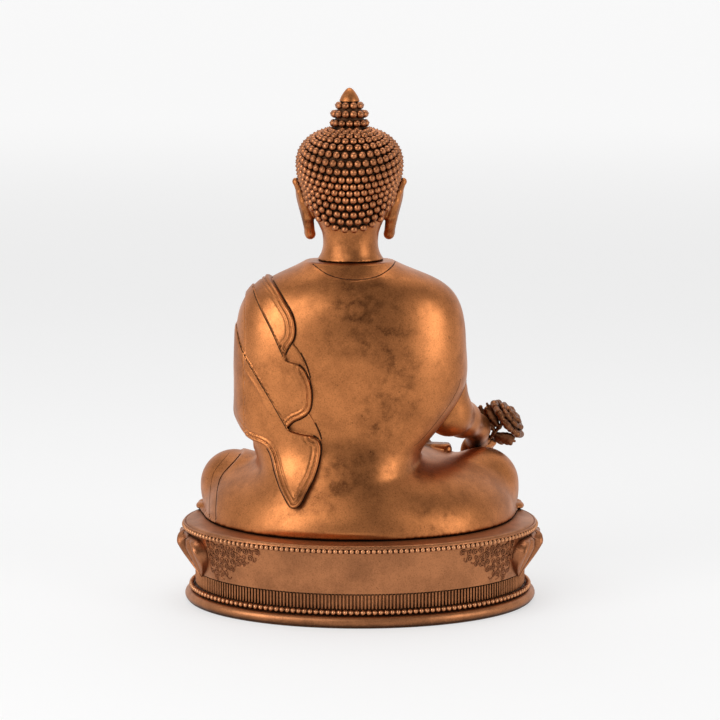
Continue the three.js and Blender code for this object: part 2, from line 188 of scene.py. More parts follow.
def inside_outline(outline):
    """The distance to a closed outline in X and Z, negative inside it."""
    points = np.array(outline, float)
    def distance(p):
        flat = p[:, [0, 2]]
        best = np.full(len(flat), 1e9)
        inside = np.zeros(len(flat), bool)
        for a, b in zip(points, np.roll(points, -1, axis=0)):
            edge = b - a
            q = flat - a
            t = np.clip((q @ edge) / max(edge @ edge, 1e-9), 0, 1)
            best = np.minimum(best, ((q - t[:, None] * edge) ** 2).sum(axis=1))
            crosses = (a[1] > flat[:, 1]) != (b[1] > flat[:, 1])
            rise = edge[1] if edge[1] else 1e-9
            inside ^= crosses & (flat[:, 0] < edge[0] * (flat[:, 1] - a[1]) / rise + a[0])
        return np.where(inside, -1, 1) * np.sqrt(best)
    return distance


def curve_through(points, steps=8):
    """A smooth open curve through points of any dimension."""
    p = np.array(points, float)
    p = np.vstack([2 * p[0] - p[1], p, 2 * p[-1] - p[-2]])
    out = []
    for i in range(1, len(p) - 2):
        for t in np.arange(steps) / steps:
            a, b, c, d = p[i - 1 : i + 3]
            bend, turn = 2 * a - 5 * b + 4 * c - d, 3 * b - a - 3 * c + d
            out.append(0.5 * (2 * b + (c - a) * t + bend * t**2 + turn * t**3))
    return np.array(out + [p[-2]])


# ---- Meshes from fields ----

CORNERS = np.array([[i, j, k] for i in (0, 1) for j in (0, 1) for k in (0, 1)])
EDGES = [(a, b) for a in range(8) for b in range(a + 1, 8) if abs(CORNERS[a] - CORNERS[b]).sum() == 1]


def evaluated(field, points, chunk=200000):
    return np.concatenate([field(points[i : i + chunk]) for i in range(0, len(points), chunk)])


def sampled(field, low, counts, cell, coarse=4):
    """The field on a lattice, worked out only near its surface."""
    blocks = [math.ceil(n / coarse) for n in counts]
    middles = np.stack(np.meshgrid(*[np.arange(b) for b in blocks], indexing="ij"), -1).reshape(-1, 3)
    rough = evaluated(field, low + (middles * coarse + (coarse - 1) / 2) * cell).reshape(blocks)
    for axis in range(3):
        rough = np.repeat(rough, coarse, axis)
    grid = rough[: counts[0], : counts[1], : counts[2]].copy()
    near = np.argwhere(np.abs(grid) < 1.5 * coarse * cell)
    grid[tuple(near.T)] = evaluated(field, low + near * cell)
    return grid


def gradient(field, points, step=0.04):
    slopes = [
        evaluated(field, points + step * axis) - evaluated(field, points - step * axis) for axis in np.eye(3)
    ]
    return np.stack(slopes, 1) / (2 * step)


def settled(field, points, reach, rounds=2):
    """Points moved onto the surface where the field is zero."""
    for _ in range(rounds):
        slope = gradient(field, points)
        move = evaluated(field, points) / np.maximum((slope**2).sum(axis=1), 0.05)
        points = points - np.clip(move, -reach, reach)[:, None] * slope
    return points


def skin(field, low, high, cell, rounds=2):
    """The surface of a field as points and quads."""
    low = np.array(low, float)
    counts = [int(math.ceil(n)) + 1 for n in (np.array(high) - low) / cell]
    grid = sampled(field, low, counts, cell)
    filled = grid < 0
    total = sum(
        filled[i : counts[0] - 1 + i, j : counts[1] - 1 + j, k : counts[2] - 1 + k].astype(np.int8)
        for i, j, k in CORNERS
    )
    mixed = (total > 0) & (total < 8)
    cells = np.argwhere(mixed)
    number = np.full(mixed.shape, -1)
    number[mixed] = np.arange(len(cells))
    values = np.stack([grid[tuple((cells + corner).T)] for corner in CORNERS], 1)
    place, hits = np.zeros((len(cells), 3)), np.zeros((len(cells), 1))
    for a, b in EDGES:
        va, vb = values[:, a], values[:, b]
        crosses = ((va < 0) != (vb < 0))[:, None]
        share = (va / np.where(va == vb, 1, va - vb))[:, None]
        place += np.where(crosses, CORNERS[a] + share * (CORNERS[b] - CORNERS[a]), 0)
        hits += crosses
    points = low + (cells + place / hits) * cell
    quads = []
    for axis in range(3):
        u, v = (axis + 1) % 3, (axis + 2) % 3
        near, far = [slice(None)] * 3, [slice(None)] * 3
        near[axis], far[axis] = slice(0, -1), slice(1, None)
        step_u, step_v = np.eye(3, dtype=int)[u], np.eye(3, dtype=int)[v]
        for leaving in (True, False):
            starts, ends = filled[tuple(near)], filled[tuple(far)]
            spots = np.argwhere(starts & ~ends if leaving else ends & ~starts)
            spots = spots[(spots[:, u] > 0) & (spots[:, v] > 0)]
            spots = spots[(spots[:, u] < counts[u] - 1) & (spots[:, v] < counts[v] - 1)]
            ring = [spots - step_u - step_v, spots - step_v, spots, spots - step_u]
            face = np.stack([number[tuple(corner.T)] for corner in ring], 1)
            quads.append(face if leaving else face[:, ::-1])
    return settled(field, points, cell * 0.7, rounds), np.concatenate(quads)


def mesh_object(name, points, faces):
    """An object in metres from points in millimetres about the middle of the base."""
    mesh = bpy.data.meshes.new(name)
    faces = faces.tolist() if hasattr(faces, "tolist") else faces
    mesh.from_pydata(((points + MIDDLE) * MM).tolist(), [], faces)
    mesh.update()
    piece = bpy.data.objects.new(name, mesh)
    bpy.context.scene.collection.objects.link(piece)
    return piece


def modelled(name, field, low, high, cell, rounds=2):
    points, quads = skin(field, low, high, cell, rounds)
    piece = mesh_object(name, points, quads)
    only(piece)
    bpy.ops.object.shade_smooth()
    return piece


# ---- Work with Blender's own operators ----

def only(*objects):
    """These objects alone are selected, and the last of them is active."""
    bpy.ops.object.select_all(action="DESELECT")
    for piece in objects:
        piece.select_set(True)
    bpy.context.view_layer.objects.active = objects[-1]


def fused(name, pieces):
    """Several objects joined into one of that name."""
    only(*pieces)
    if len(pieces) > 1:
        bpy.ops.object.join()
    whole = bpy.context.view_layer.objects.active
    whole.name = name
    whole.data.name = name
    return whole


def shaded(piece, angle=35):
    only(piece)
    bpy.ops.object.shade_smooth_by_angle(angle=math.radians(angle))
    return piece


def turned(name, outline, steps=192, depth=1.0, centre=(0, 0)):
    """A closed or axis-to-axis outline of (radius, z), spun about Z and squeezed in Y."""
    edges = [(i, i + 1) for i in range(len(outline) - 1)]
    mesh = bpy.data.meshes.new(name)
    mesh.from_pydata([(r, 0, z) for r, z in outline], edges, [])
    piece = bpy.data.objects.new(name, mesh)
    bpy.context.scene.collection.objects.link(piece)
    only(piece)
    bpy.ops.object.mode_set(mode="EDIT")
    bpy.ops.mesh.select_all(action="SELECT")
    bpy.ops.mesh.spin(steps=steps, angle=2 * math.pi, center=(0, 0, 0), axis=(0, 0, 1))
    bpy.ops.mesh.select_all(action="SELECT")
    bpy.ops.mesh.remove_doubles(threshold=0.001)
    bpy.ops.mesh.normals_make_consistent(inside=False)
    bpy.ops.object.mode_set(mode="OBJECT")
    x, y = centre
    place = Matrix.Translation(Vector(MIDDLE) + Vector((x, y, 0))) @ Matrix.Diagonal((1, depth, 1, 1))
    piece.data.transform(Matrix.Scale(MM, 4) @ place)
    return shaded(piece)


def copies(name, pattern, places):
    """One mesh from a pattern repeated at each 4x4 place, in millimetres about the middle of the base."""
    source = pattern.data
    corners = np.array([v.co for v in source.vertices])
    faces = [list(f.vertices) for f in source.polygons]
    points, all_faces = [], []
    for place in places:
        m = np.array(place)
        all_faces += [[i + len(corners) * len(points) for i in f] for f in faces]
        points.append(corners @ m[:3, :3].T + m[:3, 3])
    piece = mesh_object(name, np.concatenate(points), all_faces)
    bpy.data.objects.remove(pattern)
    return piece


def cord(name, paths, radius, sides=3):
    """Round cords along paths of points, in millimetres, with closed ends."""
    shape = bpy.data.curves.new(name, "CURVE")
    shape.dimensions = "3D"
    shape.bevel_depth = radius * MM
    shape.bevel_resolution = sides
    shape.use_fill_caps = True
    for path in paths:
        spline = shape.splines.new("POLY")
        spline.points.add(len(path) - 1)
        for point, place in zip(spline.points, path):
            point.co = (*((np.array(place) + MIDDLE) * MM), 1)
    piece = bpy.data.objects.new(name, shape)
    bpy.context.scene.collection.objects.link(piece)
    only(piece)
    bpy.ops.object.convert(target="MESH")
    return shaded(bpy.context.view_layer.objects.active, 60)


# ---- Finishes ----

class Wire:
    """A number on its way through a material, with the ordinary operators as Math nodes."""

    def __init__(self, finish, socket):
        self.finish, self.socket = finish, socket

    def math(self, operation, *others):
        values = {0: self, **dict(enumerate(others, 1))}
        return self.finish.node("ShaderNodeMath", {"operation": operation}, values)

    def __add__(self, other):
        return self.math("ADD", other)

    __radd__ = __add__

    def __mul__(self, other):
        return self.math("MULTIPLY", other)

    __rmul__ = __mul__

    def __sub__(self, other):
        return self.math("SUBTRACT", other)

    def __rsub__(self, other):
        return self.finish.node("ShaderNodeMath", {"operation": "SUBTRACT"}, {0: other, 1: self})

    def held(self):
        """The number kept between 0 and 1."""
        return self.finish.node("ShaderNodeClamp", {}, {"Value": self})

    def ramp(self, low, high):
        """0 below low, 1 above high, and smooth between."""
        settings = {"interpolation_type": "SMOOTHSTEP"}
        values = {"Value": self, "From Min": low, "From Max": high}
        return self.finish.node("ShaderNodeMapRange", settings, values)


class Finish:
    """A material built from expressions."""

    def __init__(self, name):
        self.material = bpy.data.materials.new(name)
        self.material.use_nodes = True
        self.tree = self.material.node_tree
        self.shader = self.tree.nodes["Principled BSDF"]
        self.place = self.node("ShaderNodeTexCoord", {}, {}, "Object")

    def node(self, kind, settings, inputs, output=0):
        made = self.tree.nodes.new(kind)
        for key, value in settings.items():
            setattr(made, key, value)
        for key, value in inputs.items():
            self.feed(made.inputs[key], value)
        return Wire(self, made.outputs[output])

    def feed(self, socket, value):
        if isinstance(value, Wire):
            self.tree.links.new(value.socket, socket)
        else:
            socket.default_value = value

    def noise(self, size, detail=3, roughness=0.55):
        """Soft noise whose lumps are about that many millimetres across."""
        values = {"Vector": self.place, "Scale": 1 / (size * MM), "Detail": detail, "Roughness": roughness}
        return self.node("ShaderNodeTexNoise", {}, values, "Fac")

    def mixed(self, share, a, b):
        """Colour a turning to colour b."""
        settings = {"data_type": "RGBA", "blend_type": "MIX"}
        values = {0: share, 6: a if isinstance(a, Wire) else (*a, 1), 7: b if isinstance(b, Wire) else (*b, 1)}
        return self.node("ShaderNodeMix", settings, values, 2)

    def distance_from(self, point):
        """The distance, in metres, from a point in millimetres about the middle of the base."""
        spot = tuple((np.array(point) + MIDDLE) * MM)
        return self.node("ShaderNodeVectorMath", {"operation": "DISTANCE"}, {0: self.place, 1: spot}, "Value")

    def near(self, point, reach):
        """1 at a point, fading to 0 at its reach in millimetres."""
        return 1 - self.distance_from(point).ramp(0.15 * reach * MM, reach * MM)

    def hollow(self, reach):
        """0 in the open, 1 deep in a recess narrower than the reach in millimetres."""
        seen = self.node("ShaderNodeAmbientOcclusion", {"samples": 6}, {"Distance": reach * MM}, "AO")
        return 1 - seen


# Near black for the pits in the oxide, and for recesses, where it is partly patina and partly painted shade.
DARK_PATINA_AND_SHADE = (0.010, 0.006, 0.004)


def copper(name, light, dark, roughness=0.36, mottle=0.5, stains_and_shade=(), reach=2.8, foot=0.0, ring=None):
    """Oxidised copper: mottled brown, a fine grain with light and dark specks, black pits, and recesses that darken
    towards near black, partly patina in the hollows and partly painted shade.

    A foot share paints shade on the lowest few millimetres above the floor, as if the floor shaded them; a ring is a
    faint round mark at a point."""
    finish = Finish(name)
    cloud = finish.noise(16, 5, 0.62).ramp(0.36, 0.68)
    patch = finish.noise(5, 4, 0.6).ramp(0.40, 0.72)
    shade = cloud * (mottle * 0.75) + patch * (mottle * 0.35)
    # Darker patches round listed points: mottling of the oxide, and painted shade in a crease and round the right
    # arm and the ears.
    for point, size, strength in stains_and_shade:
        shade = shade + finish.near(point, size) * (0.35 + patch * 0.65) * strength
    if ring:
        distance = finish.distance_from(ring)
        shade = shade + distance.ramp(2.8 * MM, 3.6 * MM) * (1 - distance.ramp(4.2 * MM, 5.2 * MM)) * 0.28
    # Painted shade: the lowest few millimetres darken as if the floor shaded them.
    if foot:
        height = finish.node("ShaderNodeSeparateXYZ", {}, {"Vector": finish.place}, "Z")
        shade = shade + (1 - height.ramp(0.0005, 0.0034)) * foot
    colour = finish.mixed(shade.held(), light, dark)
    grain = finish.noise(0.55, 2, 0.7)
    colour = finish.mixed(grain.ramp(0.50, 0.74) * 0.26, colour, tuple(min(1, 1.4 * c) for c in light))
    colour = finish.mixed((1 - grain.ramp(0.28, 0.50)) * 0.34, colour, tuple(0.35 * c for c in dark))
    pit = finish.noise(0.9, 1, 0.5).ramp(0.70, 0.76)
    colour = finish.mixed(pit * 0.4, colour, DARK_PATINA_AND_SHADE)
    # Recesses and the gaps between pieces, found by occlusion, darken towards near black: partly patina in the
    # hollows, partly painted shade.
    deep = finish.hollow(reach).ramp(0.22, 0.74)
    colour = finish.mixed(deep * 0.93, colour, DARK_PATINA_AND_SHADE)
    finish.feed(finish.shader.inputs["Base Color"], colour)
    finish.shader.inputs["Metallic"].default_value = 1.0
    rough = roughness - 0.05 + cloud * 0.08 + grain * 0.10 + deep * 0.2
    finish.feed(finish.shader.inputs["Roughness"], rough.held())
    height = grain * 0.7 + finish.noise(2.4, 3, 0.6) * 0.6 - pit * 0.6
    values = {"Height": height, "Distance": 0.05 * MM, "Strength": 0.35}
    finish.feed(finish.shader.inputs["Normal"], finish.node("ShaderNodeBump", {}, values, "Normal"))
    return finish.material


# Darker patches as (point in millimetres, size, strength). The rows on the upper back are mottling of the oxide; the
# rows from the crease of the right thigh on are painted shade.
STAINS_AND_PAINTED_SHADE = (
    ((-2, 34, 123), 26, 0.62),
    ((-14, 32, 108), 17, 0.40),
    ((-11, 32, 84), 18, 0.50),
    ((-16, 30, 96), 12, 0.28),
    ((0, 33, 62), 24, 0.55),
    ((16, 36, 52), 20, 0.35),
    ((28, 34, 47), 14, 0.35),
    ((33, 27, 118), 12, 0.25),
    ((28, 31, 100), 12, 0.22),
    ((3, 20, 146), 13, 0.55),
    ((-30, 38, 40), 22, 0.35),
    # Painted shade: the crease between the torso and the right thigh, round the right forearm and hand, and at the
    # ears.
    ((-22, 20, 58), 12, 0.6),
    ((-47, -29, 61), 13, 1.0),
    ((-31, -22, 58), 13, 1.3),
    ((-40, -6, 67), 10, 0.6),
    ((25.5, 4, 158), 14, 0.7),
    ((-17, 4, 158), 14, 0.7),
)
LIGHT_COPPER = (0.56, 0.205, 0.068)
BROWN_COPPER = (0.150, 0.052, 0.018)
figure_finish = copper("figure_copper", LIGHT_COPPER, BROWN_COPPER, stains_and_shade=STAINS_AND_PAINTED_SHADE, ring=(1.2, 33, 124))
base_finish = copper(
    "base_copper", (0.47, 0.19, 0.080), (0.18, 0.072, 0.032),
    # The foot share paints shade on the base's lowest few millimetres.
    roughness=0.40, mottle=0.55, foot=0.9,
)
petal_finish = copper("petal_copper", (0.43, 0.17, 0.075), (0.15, 0.06, 0.028), roughness=0.38, reach=3.5)
scroll_finish = copper("scroll_copper", (0.36, 0.14, 0.062), (0.15, 0.06, 0.028), roughness=0.45, reach=1.5)
bead_finish = copper(
    "bead_copper", (0.62, 0.28, 0.13), (0.32, 0.135, 0.06),
    roughness=0.33, mottle=0.3, reach=1.3,
)
hair_finish = copper(
    "hair_copper", (0.46, 0.18, 0.076), (0.19, 0.074, 0.033),
    roughness=0.33, mottle=0.4, reach=1.7,
)
sprig_finish = copper(
    "sprig_copper", (0.259, 0.101, 0.043), (0.065, 0.027, 0.014),
    roughness=0.36, mottle=0.7, reach=2,
)
scalp_finish = copper("scalp_patina", (0.11, 0.05, 0.025), (0.04, 0.019, 0.010), roughness=0.5, reach=1.5)
# Near black for the robe's lines: patina in the grooves, and painted shade beside the raised edges.
line_patina_and_shade_finish = copper("robe_line_patina_and_shade", (0.10, 0.045, 0.022), (0.035, 0.017, 0.010), roughness=0.6)
plate_finish = copper("plate_copper", (0.62, 0.30, 0.16), (0.35, 0.16, 0.085), roughness=0.38, mottle=0.6)
pin_finish = copper("pin_copper", (0.40, 0.20, 0.11), (0.2, 0.1, 0.055), roughness=0.45)


def finished(piece, body, finish, slot, *nodes):
    """A piece with its finish, riding on its body, in place of CAD nodes."""
    piece.data.materials.clear()
    piece.data.materials.append(finish)
    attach(piece, body)
    if nodes:
        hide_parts(*nodes)
    return piece


# ---- Camera, floor and light ----

CAMERA_PLACE = (0, 1009.5, 255.3)
CAMERA_PITCH = 8.8
SENSOR = 36
LENS = 125


def set_camera():
    data = bpy.data.cameras.new("camera")
    data.sensor_width = SENSOR
    data.lens = LENS
    data.clip_end = 200
    camera = bpy.data.objects.new("camera", data)
    camera.location = (np.array(CAMERA_PLACE) + MIDDLE) * MM
    camera.rotation_euler = (math.radians(90 - CAMERA_PITCH), 0, math.radians(180))
    bpy.context.scene.collection.objects.link(camera)
    bpy.context.scene.camera = camera


def set_floor():
    bpy.ops.mesh.primitive_plane_add(size=160, location=(0, 0, 0))
    floor = bpy.context.view_layer.objects.active
    floor.name = "studio_floor"
    paper = Finish("floor_paper")
    shade = paper.noise(300, 2, 0.5) * 0.01 + 0.36
    tone = paper.node("ShaderNodeCombineColor", {}, {0: shade, 1: shade, 2: shade})
    paper.feed(paper.shader.inputs["Base Color"], tone)
    away = paper.node("ShaderNodeVectorMath", {"operation": "LENGTH"}, {0: paper.place}, "Value")
    glow = paper.mixed(away.ramp(0.2, 3.5), (0.56, 0.56, 0.56), (0.73, 0.73, 0.73))
    paper.feed(paper.shader.inputs["Emission Color"], glow)
    paper.shader.inputs["Emission Strength"].default_value = 1.0
    paper.shader.inputs["Roughness"].default_value = 0.9
    paper.shader.inputs["Specular IOR Level"].default_value = 0.1
    floor.data.materials.append(paper.material)


def soft_light(name, place, target, size, watts):
    data = bpy.data.lights.new(name, "AREA")
    data.shape = "RECTANGLE"
    data.size, data.size_y = size
    data.energy = watts
    lamp = bpy.data.objects.new(name, data)
    lamp.location = place
    lamp.rotation_euler = (Vector(target) - Vector(place)).to_track_quat("-Z", "Y").to_euler()
    bpy.context.scene.collection.objects.link(lamp)


def set_light():
    """A white studio: bright behind the figure's face, dimmer on the side of its back, with soft lamps there."""
    world = bpy.data.worlds.new("studio")
    bpy.context.scene.world = world
    world.use_nodes = True
    nodes, links = world.node_tree.nodes, world.node_tree.links
    way = nodes.new("ShaderNodeTexCoord")
    parts = nodes.new("ShaderNodeSeparateXYZ")
    links.new(way.outputs["Generated"], parts.inputs[0])
    turn = nodes.new("ShaderNodeMapRange")
    turn.interpolation_type = "SMOOTHSTEP"
    links.new(parts.outputs["Y"], turn.inputs["Value"])
    for name, value in (("From Min", -0.6), ("From Max", 0.3), ("To Min", 0.95), ("To Max", 0.19)):
        turn.inputs[name].default_value = value
    links.new(turn.outputs[0], nodes["Background"].inputs["Strength"])
    nodes["Background"].inputs["Color"].default_value = (1, 1, 1, 1)
    aim = (0, 0, 0.1)
    soft_light("key_light", (0.95, 0.72, 0.52), aim, (0.75, 0.9), 9)
    soft_light("side_light", (-1.05, 0.66, 0.42), aim, (0.6, 0.9), 5.5)
    soft_light("front_light", (0.5, 1.2, 0.9), aim, (0.5, 0.5), 2.5)
    soft_light("top_light", (0.0, -0.1, 1.1), aim, (0.8, 0.5), 3)
    view = bpy.context.scene.view_settings
    view.view_transform = "Standard"
    view.look = "None"


set_camera()
set_floor()
set_light()


# ---- The oval base ----

def oval_point(radius, angle):
    return np.array([radius * math.cos(angle), radius * DEPTH * math.sin(angle)])


def oval_facing(angle):
    """The direction square to the oval at an angle of its parameter, in radians from +X."""
    return math.atan2(math.sin(angle), math.cos(angle) * DEPTH)


def even_angles(count, start=0.0, end=2 * math.pi, ends=False):
    """Angles that part a stretch of the oval evenly, at the middles of the shares or at their ends."""
    fine = np.linspace(start, end, 4001)
    middle = (fine[1:] + fine[:-1]) / 2
    lengths = np.concatenate([[0], np.cumsum(np.hypot(np.sin(middle), DEPTH * np.cos(middle)))])
    shares = np.arange(count + 1) / count if ends else (np.arange(count) + 0.5) / count
    return np.interp(shares * lengths[-1], lengths, fine)


def on_oval(radius, angle, z, lean=0.0):
    """A place on the oval with its X axis facing outwards, tipped outwards at the top by a lean."""
    x, y = oval_point(radius, angle)
    turn = Matrix.Rotation(oval_facing(angle), 4, "Z") @ Matrix.Rotation(lean, 4, "Y")
    return Matrix.Translation((x, y, z)) @ turn


def arc_points(centre_r, centre_z, radius, start, end, steps):
    """Points of an arc in the (radius, z) plane, by degrees."""
    angles = np.radians(np.linspace(start, end, steps))
    return [(centre_r + radius * math.cos(a), centre_z + radius * math.sin(a)) for a in angles]


def make_base():
    outline = [(0, DECK - 0.15), (RIM - 16, DECK - 0.15), (RIM - 9, DECK), (RIM - 4, DECK - 0.1)]
    outline += arc_points(RIM - 2.8, DECK - 1.5, 1.4, 80, 25, 5)
    outline += arc_points(RIM - 1.0, DECK - 1.05, 0.42, 100, -80, 7)
    outline += [(RIM - 2.6, DECK - 1.55), (RIM - 2.6, 30.6), (WALL_HIGH[0] + 0.1, 30.35)]
    outline += [(WALL_HIGH[0] - 0.1, 29.9), (WALL_LOW[0] + 0.25, 14.0), (WALL_LOW[0] + 0.15, 13.5)]
    outline += [(WAIST - 0.7, 13.2), (WAIST - 0.85, 12.9), (WAIST - 0.85, 7.3), (WAIST - 0.2, 7.0)]
    outline += [(WAIST - 0.9, 6.7), (WAIST - 0.9, 5.0), (RIM - 3.4, 4.7)]
    outline += arc_points(FOOT - 2.2, 2.4, 2.15, 80, -60, 9)
    outline += [(FOOT - 1.1, 0.35), (FOOT - 1.7, 0), (66.5, 0), (66.5, 2.5), (64, 2.5), (65.4, 8), (65.4, 13.4)]
    outline += [(68.6, 29.4), (67, DECK - 2.5), (0, DECK - 2.5)]
    base = turned("lotus_base_shell", outline, 256, DEPTH)
    bpy.ops.mesh.primitive_cylinder_add(vertices=8, radius=0.5, depth=5.6)
    rib = bpy.context.view_layer.objects.active
    only(rib)
    bpy.ops.object.mode_set(mode="EDIT")
    bpy.ops.mesh.select_all(action="SELECT")
    bpy.ops.transform.resize(value=(1.2, 0.92, 1))
    bpy.ops.object.mode_set(mode="OBJECT")
    ribs = copies("fluted_band_ribs", rib, [on_oval(WAIST - 0.55, a, 10.1) for a in even_angles(260)])
    shaded(ribs, 60)
    whole = fused("lotus_base_shell", [ribs, base])
    finished(whole, "statue", base_finish, "base_copper", "lotus_base")


def bead_row(name, node, radius, z, size, count, squash=1.0):
    bpy.ops.mesh.primitive_uv_sphere_add(segments=12, ring_count=8, radius=size)
    bead = bpy.context.view_layer.objects.active
    for corner in bead.data.vertices:
        corner.co.z *= squash
    row = shaded(copies(name, bead, [on_oval(radius, a, z) for a in even_angles(count)]), 80)
    core = turned(name + "_core", arc_points(radius - 0.55, z, size * 0.35, 0, 360, 9), 192, DEPTH)
    finished(fused(name, [core, row]), "statue", bead_finish, "bead_copper", node)


# A petal's height from its middle line out to its edge: (share of its half width, share of its depth).
PETAL_RELIEF = (
    (0, 0.34), (0.05, 0.38), (0.12, 0.58), (0.24, 0.76), (0.36, 0.82), (0.48, 0.76), (0.6, 0.56), (0.7, 0.34),
    (0.74, 0.32), (0.78, 0.54), (0.84, 0.94), (0.9, 1.0), (0.95, 0.94), (0.985, 0.70), (1, -0.15),
)


def petal_pattern(name, width, height, depth):
    """A lotus petal that hangs point down: a raised rim round two long lobes, deepest at its top.

    It stands on its own X axis facing out, with its point at the origin."""
    places, heights = np.array(PETAL_RELIEF).T
    across = np.concatenate([-places[::-1], places[1:]])
    relief = np.concatenate([heights[::-1], heights[1:]])
    along = np.concatenate([[0, 0.03], np.linspace(0.07, 0.9, 16), [0.93, 0.955, 0.975, 0.99, 1.0]])
    points, faces = [], []
    for share in along:
        half = width / 2 * math.sin(min(1, share / 0.62) * math.pi / 2) ** 0.85
        half *= math.sqrt(1 - 0.80 * max(0, (share - 0.66) / 0.34) ** 2.2)
        swell = depth * (0.20 + 0.80 * min(1, share / 0.75) ** 1.2)
        swell *= 1 - 0.35 * max(0, (share - 0.75) / 0.25) ** 2
        end = min(1, (1 - share) / 0.05) ** 0.5 if share > 0.95 else 1
        inner = min(1, (1 - share) / 0.16) if share > 0.84 else 1
        for a, r in zip(across, relief):
            lift = r if abs(a) >= 0.78 else r * inner + 1.0 * (1 - inner)
            points.append((swell * (lift * end + 0.2 * (1 - end)) - 0.3, half * a, height * share))
    n = len(across)
    for i in range(len(along) - 1):
        for j in range(n - 1):
            faces.append((i * n + j, (i + 1) * n + j, (i + 1) * n + j + 1, i * n + j + 1))
    mesh = bpy.data.meshes.new(name)
    mesh.from_pydata(points, [], [tuple(reversed(f)) for f in faces])
    petal = bpy.data.objects.new(name, mesh)
    bpy.context.scene.collection.objects.link(petal)
    only(petal)
    bpy.ops.object.mode_set(mode="EDIT")
    bpy.ops.mesh.select_all(action="SELECT")
    bpy.ops.mesh.remove_doubles(threshold=0.0001)
    bpy.ops.mesh.normals_make_consistent(inside=False)
    bpy.ops.object.mode_set(mode="OBJECT")
    return petal


def make_petals():
    lean = math.atan2(WALL_HIGH[0] - WALL_LOW[0], WALL_HIGH[1] - WALL_LOW[1])
    span = even_angles(13, math.radians(-210), math.radians(30))
    edges = even_angles(13, math.radians(-210), math.radians(30), ends=True)
    front = petal_pattern("petal", 16.8, 16.9, 4.7)
    large = copies("lotus_petals", front, [on_oval(WALL_LOW[0] - 0.2, a, 12.6, lean) for a in span])
    back = petal_pattern("petal_between", 16.0, 16.6, 2.6)
    small = copies("petals_between", back, [on_oval(WALL_LOW[0] - 0.3, a, 13.1, lean) for a in edges[1:-1]])
    shaded(large, 60)
    shaded(small, 60)
    finished(fused("lotus_petals", [small, large]), "statue", petal_finish, "petal_copper", "lotus_petal_band")
    return edges[0], edges[-1]


def spiral(centre, radius, turns, start, hand):
    """Points of a spiral in a flat (along, up) plane, from its outside to its eye."""
    steps = int(14 * turns)
    out = []
    for i in range(steps + 1):
        share = i / steps
        angle = start + hand * 2 * math.pi * turns * share
        reach = radius * (1 - 0.86 * share)
        out.append((centre[0] + reach * math.cos(angle), centre[1] + reach * math.sin(angle)))
    return out


def make_scrolls(ends):
    """Fine scrollwork that runs from the last petal at each side onto the plain wall behind."""
    paths = []
    for end, way in zip(ends, (-1, 1)):
        fine = np.linspace(0, 0.62, 240)
        turns = end + way * fine
        steps = np.hypot(np.diff(RIM * np.cos(turns)), np.diff(RIM * DEPTH * np.sin(turns)))
        lengths = np.concatenate([[0], np.cumsum(steps)])

        def on_wall(point):
            along, up = point
            angle = end + way * float(np.interp(along, lengths, fine))
            share = (up - WALL_LOW[1]) / (WALL_HIGH[1] - WALL_LOW[1])
            radius = WALL_LOW[0] + share * (WALL_HIGH[0] - WALL_LOW[0]) + 0.06
            x, y = oval_point(radius, angle)
            return (x, y, up)

        number = 0
        for row in range(6):
            z = 28.4 - 2.75 * row
            reach = 31 - 5.0 * row
            offset = 1.5 if row % 2 else 0.0
            for along in np.arange(-2.0 + offset + 0.8 * row, reach, 3.0):
                hand = 1 if number % 2 else -1
                start = 0.9 * number + row
                size = 1.45 if number % 3 else 1.15
                paths.append([on_wall(p) for p in spiral((along, z), size, 1.6, start, hand)])
                tail = []
                for k in range(4):
                    bend = start + 0.5 * k
                    tail.append((
                        along + 1.5 * math.cos(start) + 0.75 * k * math.cos(bend),
                        z + 1.5 * math.sin(start) + 0.75 * k * math.sin(bend),
                    ))
                if max(p[1] for p in tail) < 30 and min(p[1] for p in tail) > 13.8:
                    paths.append([on_wall(p) for p in tail])
                number += 1
    finished(cord("wall_scrolls", paths, 0.3, 1), "statue", scroll_finish, "base_copper")


make_base()
bead_row("upper_beads", "upper_bead_wire", RIM - 0.85, 31.25, 1.0, 184)
bead_row("lower_beads", "lower_bead_wire", RIM - 3.6, 6.2, 1.0, 164)
make_scrolls(make_petals())


# ---- The figure ----

def back_form():
    """The robed back with both shoulders and upper arms, from the waist to the foot of the neck."""
    sections = [
        (150, 11.0, 11.0, -4, 18.5),
        (144, 11.8, 11.8, -4, 19.8),
        (140.5, 16.5, 16.5, -4, 21),
        (138, 21.5, 21.5, -4, 22.5),
        (136, 27.5, 29.0, -4, 24.5),
        (132, 34.3, 37.2, -5, 27),
        (127, 38.9, 42.0, -5, 29.5),
        (121, 42.2, 44.6, -5, 31.5),
        (114, 43.6, 45.9, -5, 33),
        (104, 44.0, 46.4, -5, 33.6),
        (95, 44.0, 46.7, -5, 33),
        (89, 44.0, 45.6, -5, 32.2),
        (82, 44.0, 42.2, -5, 31.2),
        (76, 43.2, 38.0, -6, 30.6),
        (71, 41.4, 34.3, -7, 30.6),
        (67, 39.4, 30.6, -8, 31.2),
        (63, 37.4, 27.8, -9, 32.4),
        (57, 36.0, 27.0, -10, 35),
        (50, 38.0, 30.0, -10, 38.5),
        (40, 40.0, 34.0, -10, 41),
    ]
    return lofted((FIGURE_X, 7), sections, 2.35, 2.2)


KNEE_X = 51.3


